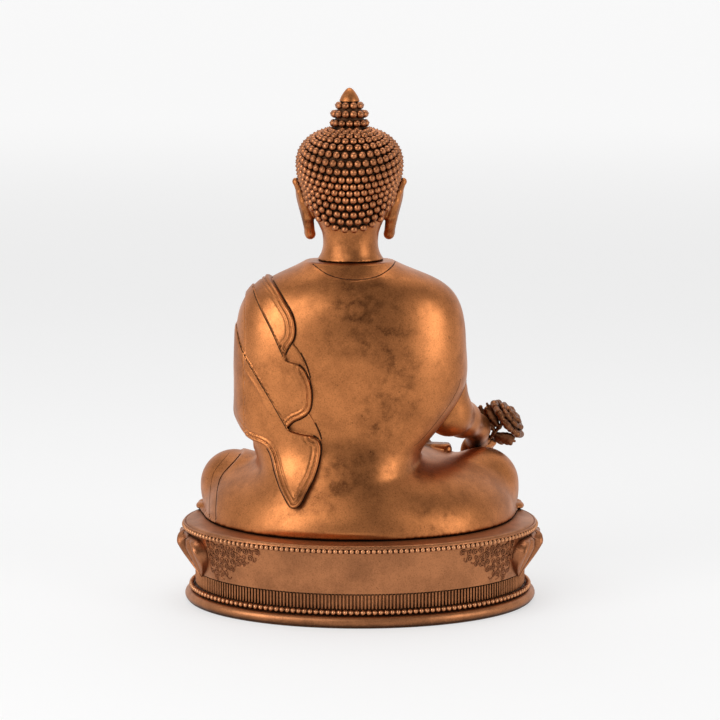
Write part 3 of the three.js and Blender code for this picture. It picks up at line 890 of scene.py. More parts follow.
def torso_form():
    chest = joined(
        7,
        egg((FIGURE_X, 3, 113), (29, 18, 22)),
        egg((FIGURE_X - 13, -4, 119), (13, 9, 10)),
        egg((FIGURE_X + 13, -4, 119), (13, 9, 10)),
        egg((FIGURE_X, 3, 84), (23.5, 18.5, 24)),
    )
    x = FIGURE_X
    left_arm = chain(((x + 28, 2, 117), 11.5), ((x + 33.8, 0, 98), 8.9), ((x + 34.2, 0, 78), 8.9))
    right_arm = chain(((x - 29, 2, 117), 12), ((x - 35.4, 1, 98), 9.4), ((x - 36.4, 1, 91), 9))
    forearm = chain(((x + 35, 1, 77), 9.2), ((33, -12, 72), 8.2), ((15, -25, 66), 5.6))
    arms = joined(2, left_arm, forearm)
    return joined(5, joined(4, chest, back_form()), arms, right_arm)


def seat_form():
    """The mass of hips and thighs, one smooth oval where it meets the deck."""
    sections = [
        (28, 64.6, 64.0, -40, 43.4),
        (36, 64.4, 63.8, -40, 43.0),
        (41, 63.8, 63.2, -39, 41.2),
        (46, 61.5, 60.5, -38, 38.2),
        (50, 57.5, 56.5, -36, 34.6),
        (54, 51, 50, -33, 30),
        (57, 43, 42, -30, 25),
        (59.5, 32, 30, -26, 18),
        (62, 16, 14, -20, 6),
    ]
    return lofted((0, -14), sections, 2.15, 2.5)


def leg_form():
    thighs = joined(
        5,
        seat_form(),
        chain(((-28, 3, 41), 15.2), ((-KNEE_X, -17, 44.4), 14.1)),
        chain(((29, 3, 41), 15.5), ((KNEE_X + 1.2, -17, 44.4), 14.1)),
    )
    shins = joined(
        3,
        chain(((-47, -21, 43), 11.8), ((-18, -33, 43.5), 10.2), ((12, -38, 43), 7.6)),
        chain(((47, -21, 43), 11.8), ((18, -33, 44.5), 9.8), ((-10, -36.5, 46.5), 7.4)),
    )
    return joined(3, thighs, shins)


def foot_form(heel, ball, tip, side):
    """A bare foot lying sole up, with five toes across its tip."""
    heel, ball, tip = (np.array(p, float) for p in (heel, ball, tip))
    along = (tip - ball) / np.linalg.norm(tip - ball)
    across = np.cross(along, (0, 0, 1))
    across = across / np.linalg.norm(across) * side
    toes = [
        limb(
            ball + across * (4.1 - 2.0 * i), 2.3 - 0.18 * i,
            tip + across * (4.6 - 2.25 * i) - along * (0.9 * i), 2.15 - 0.22 * i,
        )
        for i in range(5)
    ]
    sole = chain((heel, 5.4), ((heel + ball) / 2, 4.9), (ball, 4.6), width=2)
    return joined(0.6, sole, *toes)


COLLAR = ((24, 143.5), (20.7, 141.2), (12, 136.4), (2, 134.8), (-8, 136.4), (-15.9, 141.2), (-19, 143.5))


def cloth_field(body, thickness, mask, softness=0.5):
    """The body with a layer of cloth laid over it wherever the mask is negative."""
    def field(p):
        d = body(p)
        return blended(d, np.maximum(d - thickness, mask(p)), softness)
    return field


def thigh_hem_side(p):
    """Negative on the outer side of the hem that runs down the left thigh."""
    return np.interp(p[:, 2], THIGH_HEM[0], THIGH_HEM[1]) - p[:, 0]


THIGH_HEM = ((33, 39.2, 46.7, 50.9, 57, 63.4), (58.4, 58.6, 58.2, 56.4, 50.4, 43.2))


def body_field():
    feet = joined(
        0.8,
        foot_form((-4, -36, 53.5), (-26, -26, 58), (-38.2, -20.0, 59.0), 1),
        foot_form((9, -38.5, 51.5), (28, -30, 57.5), (40.5, -24, 59.0), -1),
    )
    figure = joined(8, torso_form(), leg_form())
    legs = leg_form()
    shin_robe = cloth_field(figure, 0.9, lambda p: -thigh_hem_side(p), 0.25)
    with_feet = joined(1.2, shin_robe, feet)
    collar = np.array(sorted(COLLAR))

    def robed(p):
        """The robe's back panel ends at the collar, and thins out down the back and at the shoulders."""
        d = with_feet(p)
        edge = np.interp(p[:, 0], collar[:, 0], collar[:, 1])
        height = 0.45 * eased((p[:, 2] - 108) / 22) * eased((p[:, 1] + 4) / 24)
        return blended(d, np.maximum(d - height, p[:, 2] - edge), 0.2)

    def lip(p):
        """The thin flange where the casting meets the deck."""
        level = p.copy()
        level[:, 2] = DECK + 3.2
        return np.maximum(legs(level) - 1.3, np.abs(p[:, 2] - DECK - 0.85) - 0.6)

    def hem_corner(side):
        """A small curled corner of the robe's hem lying on the deck."""
        return joined(
            0.5,
            egg((side * 66.4, -17.5, DECK + 1.2), (2.3, 4.0, 1.6), (0, 0, side * 14)),
            egg((side * 65.4, -21.5, DECK + 1.5), (2.8, 3.0, 1.8)),
        )

    corners = [hem_corner(side) for side in (-1, 1)]

    def field(p):
        d = joined(0.8, robed, *corners)(p)
        d = np.minimum(d, lip(p))
        return np.maximum(d, np.maximum(DECK + 0.2 - p[:, 2], p[:, 2] - SEAM + 0.25))
    return field


# The outlines of the robe's end on the back, in X and Z, each open curve running down its free edge.
LOBE_ONE = (
    (38.8, 139), (38.4, 136.7), (34.1, 132.3), (29.9, 126.5), (26.9, 121.5), (25.8, 116.3),
    (26.4, 112.3), (28.4, 109.1), (30.1, 105.6),
)
PLEAT_ONE = ((46.5, 141), (42.9, 131), (38.6, 122.5), (34.6, 115.1), (30.1, 105.6))
LOBE_TWO = (
    (30.1, 105.6), (29.0, 103.6), (24.7, 102.3), (22.3, 100.1), (20.3, 95.8), (19.3, 91.1),
    (19.6, 85.5), (20.9, 82.6), (23.3, 80.7), (26.3, 79.2), (29.0, 76.6),
)
PLEAT_TWO = ((51.5, 121), (49.8, 116.6), (47.4, 107.4), (42.2, 98.7), (35.6, 88.1), (29.0, 76.4))
LOBE_THREE = (
    (29.0, 76.4), (27.7, 75.0), (23.2, 73.8), (19.1, 73.2), (17.0, 72.0), (15.7, 68.7), (16.5, 63), (18.3, 57.5),
    (20.9, 52.7), (23.5, 47.8), (25.4, 46.2), (27.6, 46.2), (29.5, 48.8), (31.7, 52.4), (33.9, 57.8), (35.5, 64),
    (37.4, 67.6), (40.4, 69.2), (44, 70.0), (47.4, 71.8), (50.4, 75.0), (54, 80),
)
RIDGE = ((50.6, 107.7), (47.9, 102.1), (44.6, 96.6), (40.9, 91.6), (37.8, 85.7), (35, 80), (34, 76.8))
UNDER_ONE = ((26.8, 111), (24.2, 107.6), (21.5, 102.1), (19.8, 96), (22, 90), (32, 100), (31, 109))
UNDER_TWO = ((21.2, 83.5), (18.5, 79.2), (16.5, 74.6), (15.6, 71.4), (18, 71), (28, 74.5), (28, 80))


def region(curves, closing=()):
    """A closed outline from smooth open curves and the corners that close it beyond the arm."""
    points = [curve_through(curve, 5) for curve in curves]
    return inside_outline(np.vstack(points + [np.array([corner], float) for corner in closing]))


def near_curve(curve):
    """The distance in X and Z from a smooth open curve."""
    points = curve_through(curve, 5)
    def distance(p):
        flat, best = p[:, [0, 2]], np.full(len(p), 1e9)
        for a, b in zip(points, points[1:]):
            edge, q = b - a, flat - a
            t = np.clip((q @ edge) / max(edge @ edge, 1e-9), 0, 1)
            best = np.minimum(best, ((q - t[:, None] * edge) ** 2).sum(axis=1))
        return np.sqrt(best)
    return distance


HEM_TABLE = np.array([
    (0, -0.20), (0.35, 0.12), (0.8, 0.30), (1.15, 0.18), (1.45, -0.40), (1.75, -0.40), (2.05, 0.10),
    (2.4, 0.24), (2.75, 0.08), (3.0, -0.34), (3.25, -0.30), (3.6, 0.0), (4, 0),
])


def true_distance(field):
    """A field put right where it rises too fast or too slowly away from its surface."""
    def corrected(p):
        d = field(p)
        near = np.abs(d) < 7
        slopes = [field(p[near] + 0.3 * axis) - d[near] for axis in np.eye(3)]
        slope = np.sqrt(sum(v * v for v in slopes)) / 0.3
        d[near] /= np.clip(slope, 0.4, 2.5)
        return d
    return corrected


def fold_field(body):
    """The end of the robe over the left shoulder and arm: three overlapping lobes and what shows between them.

    Each layer is an outline, a thickness, the hemmed edge that carries two raised bands, and its ridge's height."""
    outer = [(48, 74), (66, 90), (66, 141)]
    layers = (
        (region([UNDER_ONE]), 0.55, None, 0),
        (region([UNDER_TWO]), 0.55, None, 0),
        (region([LOBE_ONE, LOBE_TWO], outer), 1.45, near_curve(LOBE_ONE[:-1]), 0),
        (region([PLEAT_ONE, LOBE_TWO], outer), 2.1, near_curve(LOBE_TWO[3:]), 0),
        (region([PLEAT_TWO, LOBE_THREE], [(66, 80), (66, 121)]), 2.75, near_curve(LOBE_THREE[3:]), 0.25),
    )
    ridge = near_curve(RIDGE)
    body = true_distance(body)

    def field(p):
        skin_distance = body(p)
        best = np.full(len(p), 50.0)
        shell = np.abs(skin_distance - 1.2) < 3.2
        q, near = p[shell], skin_distance[shell]
        behind = eased((q[:, 1] + 8) / 15)
        inside = 1 - eased((q[:, 0] - 43) / 8)
        inner = np.full(len(q), 50.0)
        for outline, thickness, hem, ridge_height in layers:
            edge = outline(q)
            height = thickness
            if hem:
                height = thickness + np.interp(hem(q), HEM_TABLE[:, 0], HEM_TABLE[:, 1]) * inside
            if ridge_height:
                height = height + ridge_height * inside * np.exp(-((ridge(q) / 0.6) ** 2))
            raised = near - 0.15 - height * behind
            inner = np.minimum(inner, -blended(-raised, -edge, 0.35 + 1.6 * (1 - inside)))
        best[shell] = inner
        best[~shell] = np.abs(skin_distance[~shell] - 1.2)
        return np.maximum(np.maximum(best, -9 - p[:, 1]), -(skin_distance + 1.2))
    return field


body = body_field()
figure_piece = modelled("robed_figure", body, (-72, -52, DECK - 1), (72, 48, SEAM + 1), 0.85)
finished(figure_piece, "statue", figure_finish, "figure_copper", "body_casting")

fold = fold_field(body)
fold_piece = modelled("robe_end", fold, (12, -10, 42), (57, 42, 141), 0.5, rounds=1)
finished(fold_piece, "statue", figure_finish, "figure_copper", "robe_shoulder_fold")


# ---- Lines worked on the robe, and painted shade along its raised edges ----

def surface_of(*pieces):
    """What a ray towards the figure meets first, over several pieces."""
    trees = []
    for piece in pieces:
        mesh = piece.data
        trees.append(BVHTree.FromPolygons([v.co for v in mesh.vertices], [p.vertices for p in mesh.polygons]))

    def hit(origin, direction):
        start = Vector((np.array(origin) + MIDDLE) * MM)
        found = [tree.ray_cast(start, Vector(direction)) for tree in trees]
        found = [f for f in found if f[0] is not None]
        if not found:
            return None
        place, normal, _, _ = min(found, key=lambda f: f[3])
        return np.array(place) / MM - MIDDLE, np.array(normal)
    return hit


figure_surface = surface_of(figure_piece, fold_piece)


def laid(path, sink, side=1):
    """A path in X and Z laid on the back, or on the front for side -1, and sunk by an amount."""
    out = []
    for x, z in path:
        found = figure_surface((x, 70 * side, z), (0, -side, 0))
        if found:
            place, normal = found
            out.append(place - normal * sink)
    return out


def inset(path, distance):
    """A path moved sideways in its own plane, to its left as it runs."""
    p = np.array(path)
    along = np.gradient(p, axis=0)
    along /= np.linalg.norm(along, axis=1)[:, None]
    return p + distance * np.stack([-along[:, 1], along[:, 0]], 1)


def make_robe_lines():
    hem = [(x, z) for z, x in zip(*THIGH_HEM)]
    # Near-black cords stand for the incised lines and for the dark seams beside the raised edges of the robe's
    # layers and hems: patina in the grooves, and painted shade where those edges cast it.
    dark = [
        (curve_through(COLLAR[1:-1], 10), 0.26, -0.35),
        (curve_through(hem, 8), 0.26, -0.2),
        (inset(curve_through(hem, 8), -3.4), 0.13, 0),
        (curve_through(RIGHT_HEM, 8), 0.16, 0),
        (inset(curve_through(RIGHT_HEM, 8), 3.3), 0.13, 0),
    ]
    for pleat in (PLEAT_ONE[1:], PLEAT_TWO):
        dark.append((curve_through(pleat, 6), 0.22, 0.35))
    for edge in (LOBE_ONE, LOBE_TWO[2:], LOBE_THREE[3:-5], UNDER_ONE[1:4], UNDER_TWO[1:4]):
        dark.append((curve_through(edge, 6)[1:-1], 0.26, -0.5))
    pieces = []
    for path, radius, shift in dark:
        pieces.append(cord("robe_line", [laid(inset(path, shift), 0.05)], radius, 1))
    hems = []
    for edge in FRONT_EDGES:
        path = curve_through(edge, 8)
        hems.append(cord("robe_hem", [laid(path, 0.1, -1)], 0.62, 2))
        hems.append(cord("robe_hem", [laid(inset(path, 2.6), 0.1, -1)], 0.3, 1))
        pieces.append(cord("robe_line", [laid(inset(path, -0.7), 0.05, -1)], 0.2, 1))
    finished(fused("robe_groove_lines_and_shade", pieces), "statue", line_patina_and_shade_finish, "figure_copper")
    finished(fused("robe_hems", hems), "statue", figure_finish, "figure_copper")


# The robe's edges on the front, in X and Z: down the right breast, across from the left shoulder, over the shins.
FRONT_EDGES = (
    ((-10, 138.5), (-15, 131), (-20, 120), (-22.5, 108), (-22, 97), (-19, 88), (-16, 80)),
    ((-19, 86), (-10, 92), (0, 101), (10, 113), (17, 125), (20, 134), (20, 138.5)),
    ((-44, 47.5), (-34, 42.5), (-20, 39), (-6, 38), (6, 38.5)),
    ((44, 47.5), (34, 42), (22, 38.5), (12, 37.5)),
)
RIGHT_HEM = ((-43.6, 93.5), (-42.6, 89.6), (-38.9, 82.6), (-32.8, 74.3), (-26.9, 67.6), (-23.6, 65.2))


make_robe_lines()


# ---- The head ----

HEAD_MIDDLE = np.array([FIGURE_X, 5.0, 174.0])


def skull_form():
    return joined(
        5,
        dome((FIGURE_X, 5, 179.6), (19.5, 20.8, 13.3), 2.3),
        egg((FIGURE_X, 6, 168.5), (16.9, 17.8, 18)),
    )


def face_form():
    x = FIGURE_X
    jaw = joined(
        5,
        egg((x, -3, 163.5), (13.6, 13.0, 13.5)),
        egg((x, -9.5, 157.0), (8.2, 7.0, 6.0)),
        egg((x, -4, 176), (15.5, 12.0, 10.5)),
    )
    features = [
        egg((x, -14.2, 154.6), (4.2, 3.4, 3.4)),
        chain(((x, -14.8, 172.5), 1.5), ((x, -17.2, 168.2), 1.7), ((x, -18.6, 165.6), 2.1)),
        egg((x - 2.3, -16.2, 165.1), (1.6, 2.0, 1.4)),
        egg((x + 2.3, -16.2, 165.1), (1.6, 2.0, 1.4)),
        egg((x, -15.2, 161.3), (3.9, 2.0, 0.95)),
        egg((x, -15.0, 159.3), (3.2, 1.9, 1.05)),
    ]
    for side in (-1, 1):
        features += [
            egg((x + side * 7.6, -9.6, 163.5), (5.2, 4.6, 5.6)),
            chain(
                ((x + side * 2.2, -15.2, 174.6), 0.75),
                ((x + side * 6.5, -14.6, 177.0), 0.85),
                ((x + side * 11.2, -11.2, 175.2), 0.6),
            ),
        ]
    eyes = [egg((x + side * 6.4, -12.1, 171.2), (4.0, 2.9, 2.35)) for side in (-1, 1)]
    sockets = [egg((x + side * 6.4, -16.0, 171.6), (4.4, 2.4, 2.6)) for side in (-1, 1)]
    head = carved(1.6, joined(1.8, jaw, *features), *sockets)
    lids = [
        chain(
            ((x + side * 2.8, -13.9, 170.4), 0.3),
            ((x + side * 6.4, -15.05, 169.9), 0.36),
            ((x + side * 10.2, -12.7, 171.0), 0.3),
        )
        for side in (-1, 1)
    ]
    mouth = chain(((x - 3.9, -15.6, 160.9), 0.25), ((x, -17.1, 160.3), 0.3), ((x + 3.9, -15.6, 160.9), 0.25))
    dot = egg((x, -15.9, 178.8), (1.0, 0.8, 1.0))
    return joined(0.4, carved(0.3, joined(0.7, head, *eyes), mouth), *lids, dot)


def ear_form(side):
    """A long ear: a blade standing off the head, its lobe drawn down and pierced."""
    x = FIGURE_X
    rim = chain(
        ((x + side * 19.8, 7.2, 168.5), 1.5),
        ((x + side * 21.6, 4.0, 172.4), 1.3),
        ((x + side * 20.4, -0.6, 169.2), 1.4),
        ((x + side * 18.2, -1.4, 160.0), 1.5),
        ((x + side * 16.4, 0.6, 151.4), 1.8),
        ((x + side * 15.9, 2.8, 151.0), 2.0),
        ((x + side * 16.6, 5.4, 158.0), 2.1),
        ((x + side * 18.2, 6.8, 164.5), 1.8),
        ((x + side * 19.8, 7.2, 168.5), 1.2),
        width=0.8,
    )
    web = joined(
        1.5,
        egg((x + side * 19.3, 3.0, 165.5), (2.1, 4.4, 6.8), (0, side * 12, 0)),
        egg((x + side * 17.4, 2.4, 157.5), (2.0, 4.0, 7.0), (0, side * 12, 0)),
    )
    pierced = egg((x + side * 16.9, 2.0, 154.6), (3.6, 0.9, 3.2), (0, side * 12, 0))
    return joined(1.0, rim, carved(0.5, web, pierced))


def neck_form():
    x = FIGURE_X - 0.4
    sections = [
        (SEAM - 3, 14.6, 14.6, -9.0, 20.6),
        (SEAM, 13.6, 13.6, -7.6, 19.8),
        (142.4, 12.6, 12.6, -6.8, 19.0),
        (144, 11.7, 11.7, -6.2, 18.4),
        (147, 11.0, 11.0, -5.4, 18.0),
        (151, 11.2, 11.2, -5.0, 18.2),
        (156, 12.2, 12.2, -5.0, 19.2),
        (162, 13.2, 13.2, -5.0, 20.0),
    ]
    turns = np.linspace(-1.0, 1.0, 7)
    folds = [
        chain(*[((x + 11.6 * math.sin(t), 6.4 - 12.2 * math.cos(t), z), 0.75) for t in turns])
        for z in (145.5, 149.5)
    ]
    return joined(1.0, lofted((x, 6.5), sections, 2.1, 1.0), *folds)


def scalp_form():
    return joined(3.0, skull_form(), neck_form())


def head_field():
    whole = scalp_form()
    with_face = joined(3.5, whole, face_form())
    ears = [ear_form(side) for side in (-1, 1)]
    whole = joined(1.2, with_face, *ears)
    return lambda p: np.maximum(whole(p), SEAM - p[:, 2])


head = head_field()
head_piece = modelled("head_and_neck", head, (-22, -26, SEAM - 1), (31, 30, 199), 0.5)
finished(head_piece, "statue", figure_finish, "figure_copper", "head_casting")


def hairline(azimuth):
    """The height of the hair's edge at an angle from the middle of the nape."""
    return 152.9 + 15.5 * (1 - math.cos(azimuth))


CURL_RADIUS = 1.54


def curl_pattern():
    """A small round curl with a raised tip, pointing up its Z axis."""
    bpy.ops.mesh.primitive_uv_sphere_add(segments=10, ring_count=8, radius=CURL_RADIUS)
    curl = bpy.context.view_layer.objects.active
    for corner in curl.data.vertices:
        height = corner.co.z / CURL_RADIUS
        if height > 0.98:
            corner.co.z += 0.16
        elif height > 0.8:
            corner.co.x *= 0.82
            corner.co.y *= 0.82
            corner.co.z -= 0.10
    return curl


def curl_places():
    """Rows of curls over the scalp, dipping at the nape and ending at the hairline."""
    skull = scalp_form()
    places = []
    rows = np.radians(np.arange(24.0, 160, 7.95))
    for number, polar in enumerate(rows):
        ring = 20.6 * math.sin(polar)
        count = max(8, int(round(2 * math.pi * ring / 2.95)))
        dip = 0.24 + 0.24 * number / (len(rows) - 1)
        for k in range(count):
            azimuth = 2 * math.pi * (k + 0.5 * (number % 2)) / count
            bend = polar - dip * (1 - math.cos(azimuth))
            if bend < 0.2:
                continue
            across = math.sin(bend)
            direction = np.array([across * math.sin(azimuth), across * math.cos(azimuth), math.cos(bend)])
            near, far = 5.0, 40.0
            for _ in range(24):
                half = (near + far) / 2
                inside = skull((HEAD_MIDDLE + direction * half)[None])[0] < 0
                near, far = (half, far) if inside else (near, half)
            spot = HEAD_MIDDLE + direction * near
            turn = azimuth if azimuth < math.pi else 2 * math.pi - azimuth
            if spot[2] < hairline(turn) or math.hypot(spot[0] - FIGURE_X, spot[1] - 5) < 7.4 and spot[2] > 180:
                continue
            normal = gradient(skull, spot[None])[0]
            places.append(pointing(spot + normal / np.linalg.norm(normal) * 0.75, normal))
    return places


def pointing(spot, direction):
    """A place whose Z axis points along a direction."""
    turn = Vector(direction).to_track_quat("Z", "Y").to_matrix().to_4x4()
    return Matrix.Translation(Vector(spot)) @ turn


def make_hair():
    topknot = []
    for z, radius, count in ((195.9, 6.6, 14), (199.6, 6.3, 13), (202.9, 4.4, 9)):
        for k in range(count):
            angle = 2 * math.pi * (k + 0.5 * (count % 2)) / count
            outward = np.array([math.sin(angle), math.cos(angle), 0.15])
            topknot.append(pointing((FIGURE_X + radius * outward[0], 5 + radius * outward[1], z), outward))
    curls = shaded(copies("curls", curl_pattern(), curl_places() + topknot), 60)
    finished(curls, "statue", hair_finish, "hair_copper")
    core_outline = [(0, 205.0), (3.2, 205.0), (4.0, 203), (5.6, 200), (6.0, 195), (6.4, 189), (0, 189)]
    core = turned("topknot_core", core_outline, 32, 1, (FIGURE_X, 5))
    skull = scalp_form()

    def scalp(p):
        azimuth = np.arctan2(np.abs(p[:, 0] - FIGURE_X), p[:, 1] - 5)
        return np.maximum(skull(p) - 0.25, 154.0 + 15.5 * (1 - np.cos(azimuth)) - p[:, 2])

    cap = modelled("scalp", scalp, (-20, -20, 150), (28, 30, 197), 0.8)
    finished(fused("scalp", [core, cap]), "statue", scalp_finish, "hair_copper")
    cone = [(0, TOP), (0.7, TOP - 0.12), (1.5, TOP - 0.75), (2.4, TOP - 1.9), (3.3, TOP - 3.3), (3.95, TOP - 4.7)]
    cone += [(4.05, TOP - 5.3), (3.6, TOP - 5.7), (1.2, TOP - 5.7), (1.2, 197), (0, 197)]
    jewel = turned("crown_cone", cone, 40, 1, (FIGURE_X, 5))
    finished(jewel, "statue", figure_finish, "figure_copper", "crown_jewel")


make_hair()


# ---- The right arm and hand ----

def right_arm_field():
    arm = chain(
        ((-33.4, 4, 96), 8.0),
        ((-34.4, 3, 88), 8.3),
        ((-36.4, 0, 77.4), 9.0),
        ((-42.4, -11, 72.6), 7.0),
        ((-48.8, -24, 66.6), 5.2),
        ((-49.6, -31, 60.5), 4.7),
        width=4,
    )
    palm = joined(
        1.5,
        egg((-48.9, -34.4, 54.4), (6.3, 3.3, 7.4), (8, 0, 0)),
        egg((-53.0, -34.6, 55.4), (2.8, 3.0, 4.6), (0, 18, 0)),
    )
    fingers = [
        chain(((x, -35.4, 50.5), 1.85), ((x - 0.3, -36.9, 46.0), 1.65), ((x - 0.2, -36.6, tip), 1.2), width=0.6)
        for x, tip in ((-50.6, 40.6), (-47.7, 41.0), (-44.9, 43.2))
    ]
    pointer = chain(
        ((-53.4, -35.6, 51.4), 1.85), ((-54.6, -38.6, 49.0), 1.6),
        ((-54.4, -40.4, 51.6), 1.4), ((-54.0, -39.6, 54.0), 1.15),
        width=0.5,
    )
    thumb = chain(((-53.6, -33.0, 60.0), 2.3), ((-56.0, -35.8, 58.4), 1.95), ((-55.6, -38.8, 55.8), 1.45), width=0.8)
    hand = joined(0.9, joined(2.0, arm, palm), *fingers, pointer, thumb)
    root = np.array(STEM_ROOT)
    hole = limb(root - 3.6 * STEM_WAY, STEM_RADIUS + 0.15, root + 12 * STEM_WAY, STEM_RADIUS + 0.15)
    return carved(0.2, hand, hole)


STEM_ROOT = (-52.5, -33.5, 57)
STEM_WAY = np.array([-0.583, 0.215, 0.785]) / np.linalg.norm([-0.583, 0.215, 0.785])
STEM_RADIUS = 0.85

arm_piece = modelled("right_arm_and_hand", right_arm_field(), (-60, -43, 38), (-25, 15, 105), 0.55)
finished(arm_piece, "statue", figure_finish, "figure_copper", "right_arm")


# ---- The left hand, the bowl and its fruit ----

bowl_low, bowl_high = (corner - MIDDLE for corner in node_box("medicine_bowl"))
BOWL_X, BOWL_Y, BOWL_Z = (bowl_low[0] + bowl_high[0]) / 2, (bowl_low[1] + bowl_high[1]) / 2, bowl_low[2]
BOWL_RADIUS = (bowl_high[0] - bowl_low[0]) / 2
BOWL_HEIGHT = bowl_high[2] - bowl_low[2]


def left_hand_field():
    wrist = chain(((19.5, -22.6, 65.8), 5.7), ((11, -27.5, 65.4), 4.9), ((6, -30, 65.2), 4.4), width=2)
    palm = egg((2.2, -31, 65.3), (9.4, 6.9, 3.3))
    fingers = [
        chain(((-4, y, 65.2), 2.0), ((-9.8, y + 0.5, 65.3), 1.8), ((tip, y + 1.1, 66.4), 1.35), width=0.6)
        for y, tip in ((-35.8, -14.2), (-32.5, -15.6), (-29.2, -15.0), (-26.2, -13.0))
    ]
    thumb = chain(((8.5, -35.2, 66.0), 2.3), ((2.5, -38.6, 67.0), 2.0), ((-3.6, -39.6, 67.8), 1.5), width=0.8)
    hand = joined(0.9, joined(1.6, wrist, palm), *fingers, thumb)
    return lambda p: np.maximum(hand(p), p[:, 2] - BOWL_Z + 0.1)


def make_bowl():
    r, z, h = BOWL_RADIUS, BOWL_Z, BOWL_HEIGHT
    side = [(4.6, z + 0.9), (6.6, z + 2.0), (8.7, z + 3.8), (r - 0.35, z + 6.6), (r - 0.55, z + 8.6)]
    profile = curve_through(side, 5)
    outline = [(0, z + 0.3), (3.6, z + 0.3), (3.8, z), (4.5, z), (4.7, z + 0.3), (4.4, z + 0.7)]
    outline += [tuple(p) for p in profile]
    outline += arc_points(r - 0.55, z + h - 0.85, 0.8, -70, 120, 9)
    outline += [(r - 1.5, z + h - 0.9), (r - 1.9, z + 6.4), (6.4, z + 3.6), (3.5, z + 2), (0, z + 2)]
    bowl = turned("medicine_bowl_shell", outline, 72, 1, (BOWL_X, BOWL_Y))
    bpy.ops.mesh.primitive_uv_sphere_add(segments=10, ring_count=6, radius=0.5)
    bead = bpy.context.view_layer.objects.active
    beads = copies("bowl_beads", bead, [
        Matrix.Translation((BOWL_X + (r - 0.5) * math.cos(a), BOWL_Y + (r - 0.5) * math.sin(a), z + 7.6))
        for a in np.linspace(0, 2 * math.pi, 48, endpoint=False)
    ])
    shaded(beads, 60)
    finished(fused("medicine_bowl_shell", [beads, bowl]), "bowl", figure_finish, "figure_copper", "medicine_bowl")

    bpy.ops.mesh.primitive_uv_sphere_add(segments=20, ring_count=14, radius=2.9)
    fruit = bpy.context.view_layer.objects.active
    for corner in fruit.data.vertices:
        x, y, up = corner.co
        swell = 1 + 0.05 * math.cos(5 * math.atan2(y, x))
        bud = 0.5 * math.exp(-((x * x + y * y) / 0.4)) if up > 0 else 0
        corner.co = (x * swell, y * swell, up * 1.12 + bud)
    places = []
    for count, reach, up, lean in ((7, 5.4, 9.6, 0.7), (3, 2.7, 12.0, 0.35)):
        for k in range(count):
            a = 2 * math.pi * (k + 0.3 * count) / count
            x, y = BOWL_X + reach * math.cos(a), BOWL_Y + reach * math.sin(a)
            spot = Matrix.Translation((x, y, z + up - 1.2))
            places.append(spot @ Matrix.Rotation(a, 4, "Z") @ Matrix.Rotation(lean, 4, "Y"))
    heap = shaded(copies("healing_fruit", fruit, places), 60)
    bed = [(0, z + 2.5), (3.2, z + 2.5), (6, z + 4), (8.0, z + 6.8), (7.6, z + 8.4), (0, z + 10.5)]
    mound = turned("fruit_bed", bed, 32, 1, (BOWL_X, BOWL_Y))
    finished(fused("healing_fruit", [mound, heap]), "bowl", sprig_finish, "sprig_copper", "bowl_fruit")


hand_piece = modelled("open_left_hand", left_hand_field(), (-19, -44, 59), (27, -15, 71), 0.45)
finished(hand_piece, "statue", figure_finish, "figure_copper", "left_hand")
make_bowl()


# ---- The sprig ----

FLOWER_WAY = np.array([-0.76, 0.14, 0.635])
FLOWER_WAY = FLOWER_WAY / np.linalg.norm(FLOWER_WAY)


def flower_axes():
    """Two directions across the flower and the one it faces."""
    side = np.cross(FLOWER_WAY, (0, 0, 1))
    side = side / np.linalg.norm(side)
    return side, np.cross(FLOWER_WAY, side), FLOWER_WAY


def ruffled(middle, outward, facing, length, width, depth):
    """A thick petal with three lumps along its rim."""
    outward = np.array(outward)
    across = np.cross(facing, outward)
    sizes = (-0.62, 0.78, 1.0), (0, 1.0, 1.12), (0.62, 0.78, 1.0), (-0.3, 0.92, 0.9), (0.3, 0.92, 0.9)
    lumps = []
    for shift, reach, size in sizes:
        tip = middle + outward * (length * reach) + across * (width * shift)
        lumps.append(limb(tip, depth * size, middle - outward * length * 0.5, depth * 0.7))
    return joined(0.35, *lumps)


def flower_field():
    side, up, facing = flower_axes()
    centre = np.array(STEM_ROOT) + 13.6 * STEM_WAY
    forms = [chain((centre, 1.3), (centre + facing * 2.2, 3.0), width=1)]
    for count, reach, rise, length, width, depth, turn in (
        (8, 5.7, 2.0, 3.1, 3.4, 1.4, 0.2),
        (7, 3.7, 4.2, 2.5, 2.7, 1.15, 0.6),
        (5, 1.7, 5.6, 1.8, 1.9, 1.0, 0.0),
    ):
        for k in range(count):
            angle = 2 * math.pi * k / count + turn
            out = side * math.cos(angle) + up * math.sin(angle)
            spread = out + facing * (0.10 + 0.1 * (k % 2))
            spread = spread / np.linalg.norm(spread)
            middle = centre + out * reach + facing * rise
            forms.append(ruffled(middle, spread, facing, length, width, depth))
    for k in range(5):
        angle = 2 * math.pi * k / 5 + 0.5
        out = side * math.cos(angle) + up * math.sin(angle)
        knee, tip = centre + out * 3.6 + facing * 0.6, centre + out * 6.4 + facing * 1.4
        forms.append(chain((centre, 1.0), (knee, 0.9), (tip, 0.5), width=0.5))
    forms.append(egg(centre + facing * 5.4, (1.7, 1.7, 1.7)))
    return joined(0.4, *forms)


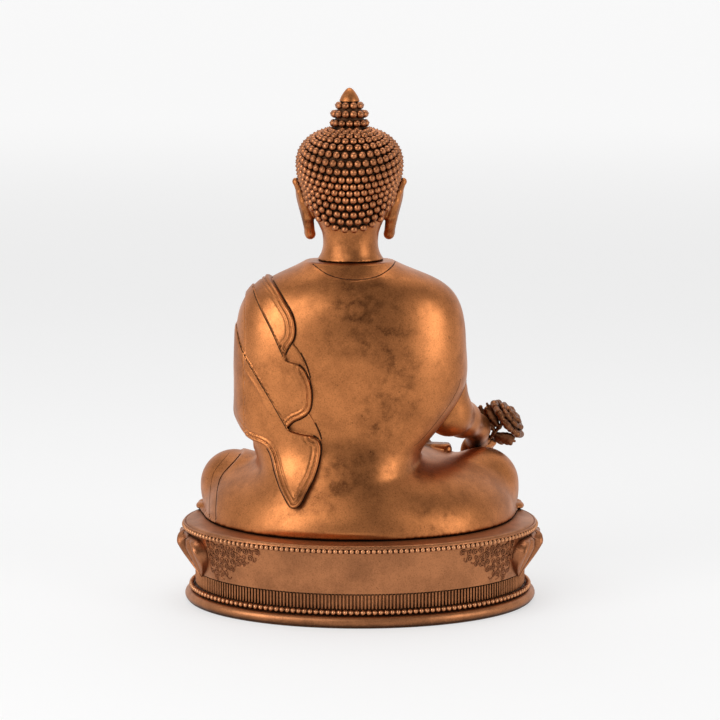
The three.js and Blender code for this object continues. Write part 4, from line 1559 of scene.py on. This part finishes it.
def leaf_field(root, tip, facing, width):
    """A thick leaf with notched edges and a raised midrib."""
    root, tip, facing = (np.array(v, float) for v in (root, tip, facing))
    along = tip - root
    across = np.cross(facing, along)
    across = across / np.linalg.norm(across)
    forms = [chain((root, 0.7), ((root + tip) / 2 + facing * 0.25, 0.8), (tip, 0.5), width=0.5)]
    for share, reach in ((0.22, 0.5), (0.40, 0.72), (0.58, 0.76), (0.76, 0.6)):
        for way in (-1, 1):
            start = root + along * (share - 0.1)
            end = root + along * (share + 0.08) + across * way * width / 2 * reach - facing * 0.3
            forms.append(limb(start, 1.0, end, 0.85))
    return joined(1.0, *forms)


def make_sprig():
    root = np.array(STEM_ROOT)

    def at(distance, offset=(0, 0, 0)):
        return root + distance * STEM_WAY + np.array(offset)

    stem = joined(
        0.5,
        limb(at(-3), STEM_RADIUS - 0.15, at(13.8), STEM_RADIUS - 0.05),
        *[egg(at(d), (1.15, 1.15, 1.15)) for d in (7.4, 11.0)],
    )
    pieces = (
        ("sprig_branch", "sprig_stem", stem, at(6), 14, 0.3),
        ("sprig_blossom", "sprig_flower", flower_field(), at(17), 14, 0.4),
        (
            "upper_sprig_leaf", "sprig_leaf_upper",
            joined(0.5, leaf_field(at(8.4, (0.6, 0, 0.5)), (-48.2, -32.0, 74.8), (0.3, -0.9, 0.3), 5.6),
                   leaf_field(at(10.6, (0.5, 0, 0.6)), (-53.6, -31.0, 75.6), (0.3, -0.9, 0.2), 4.4)),
            (-53.5, -32.5, 69.5), 10, 0.34,
        ),
        (
            "lower_sprig_leaf", "sprig_leaf_lower",
            joined(0.5, leaf_field(at(7.2, (-0.8, 0, -0.4)), (-65.6, -32.4, 59.2), (0.4, -0.85, 0.35), 5.2),
                   leaf_field(at(6.6, (-0.9, 0, -0.3)), (-61.6, -34.6, 58.6), (0.3, -0.9, 0.3), 3.6)),
            (-61, -33, 61), 10, 0.34,
        ),
    )
    for name, node, field, centre, reach, cell in pieces:
        centre = np.array(centre)
        piece = modelled(name, field, centre - reach, centre + reach, cell)
        finished(piece, "sprig", sprig_finish, "sprig_copper", node)


make_sprig()


# ---- Pieces that stay as the CAD made them ----

for node, finish in (
    ("sealing_plate", plate_finish),
    ("neck_pin", pin_finish),
    ("right_arm_pin", pin_finish),
    ("left_hand_pin", pin_finish),
    ("tang_wedge_left", pin_finish),
    ("tang_wedge_right", pin_finish),
):
    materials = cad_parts[node].data.materials
    materials.clear()
    materials.append(finish)
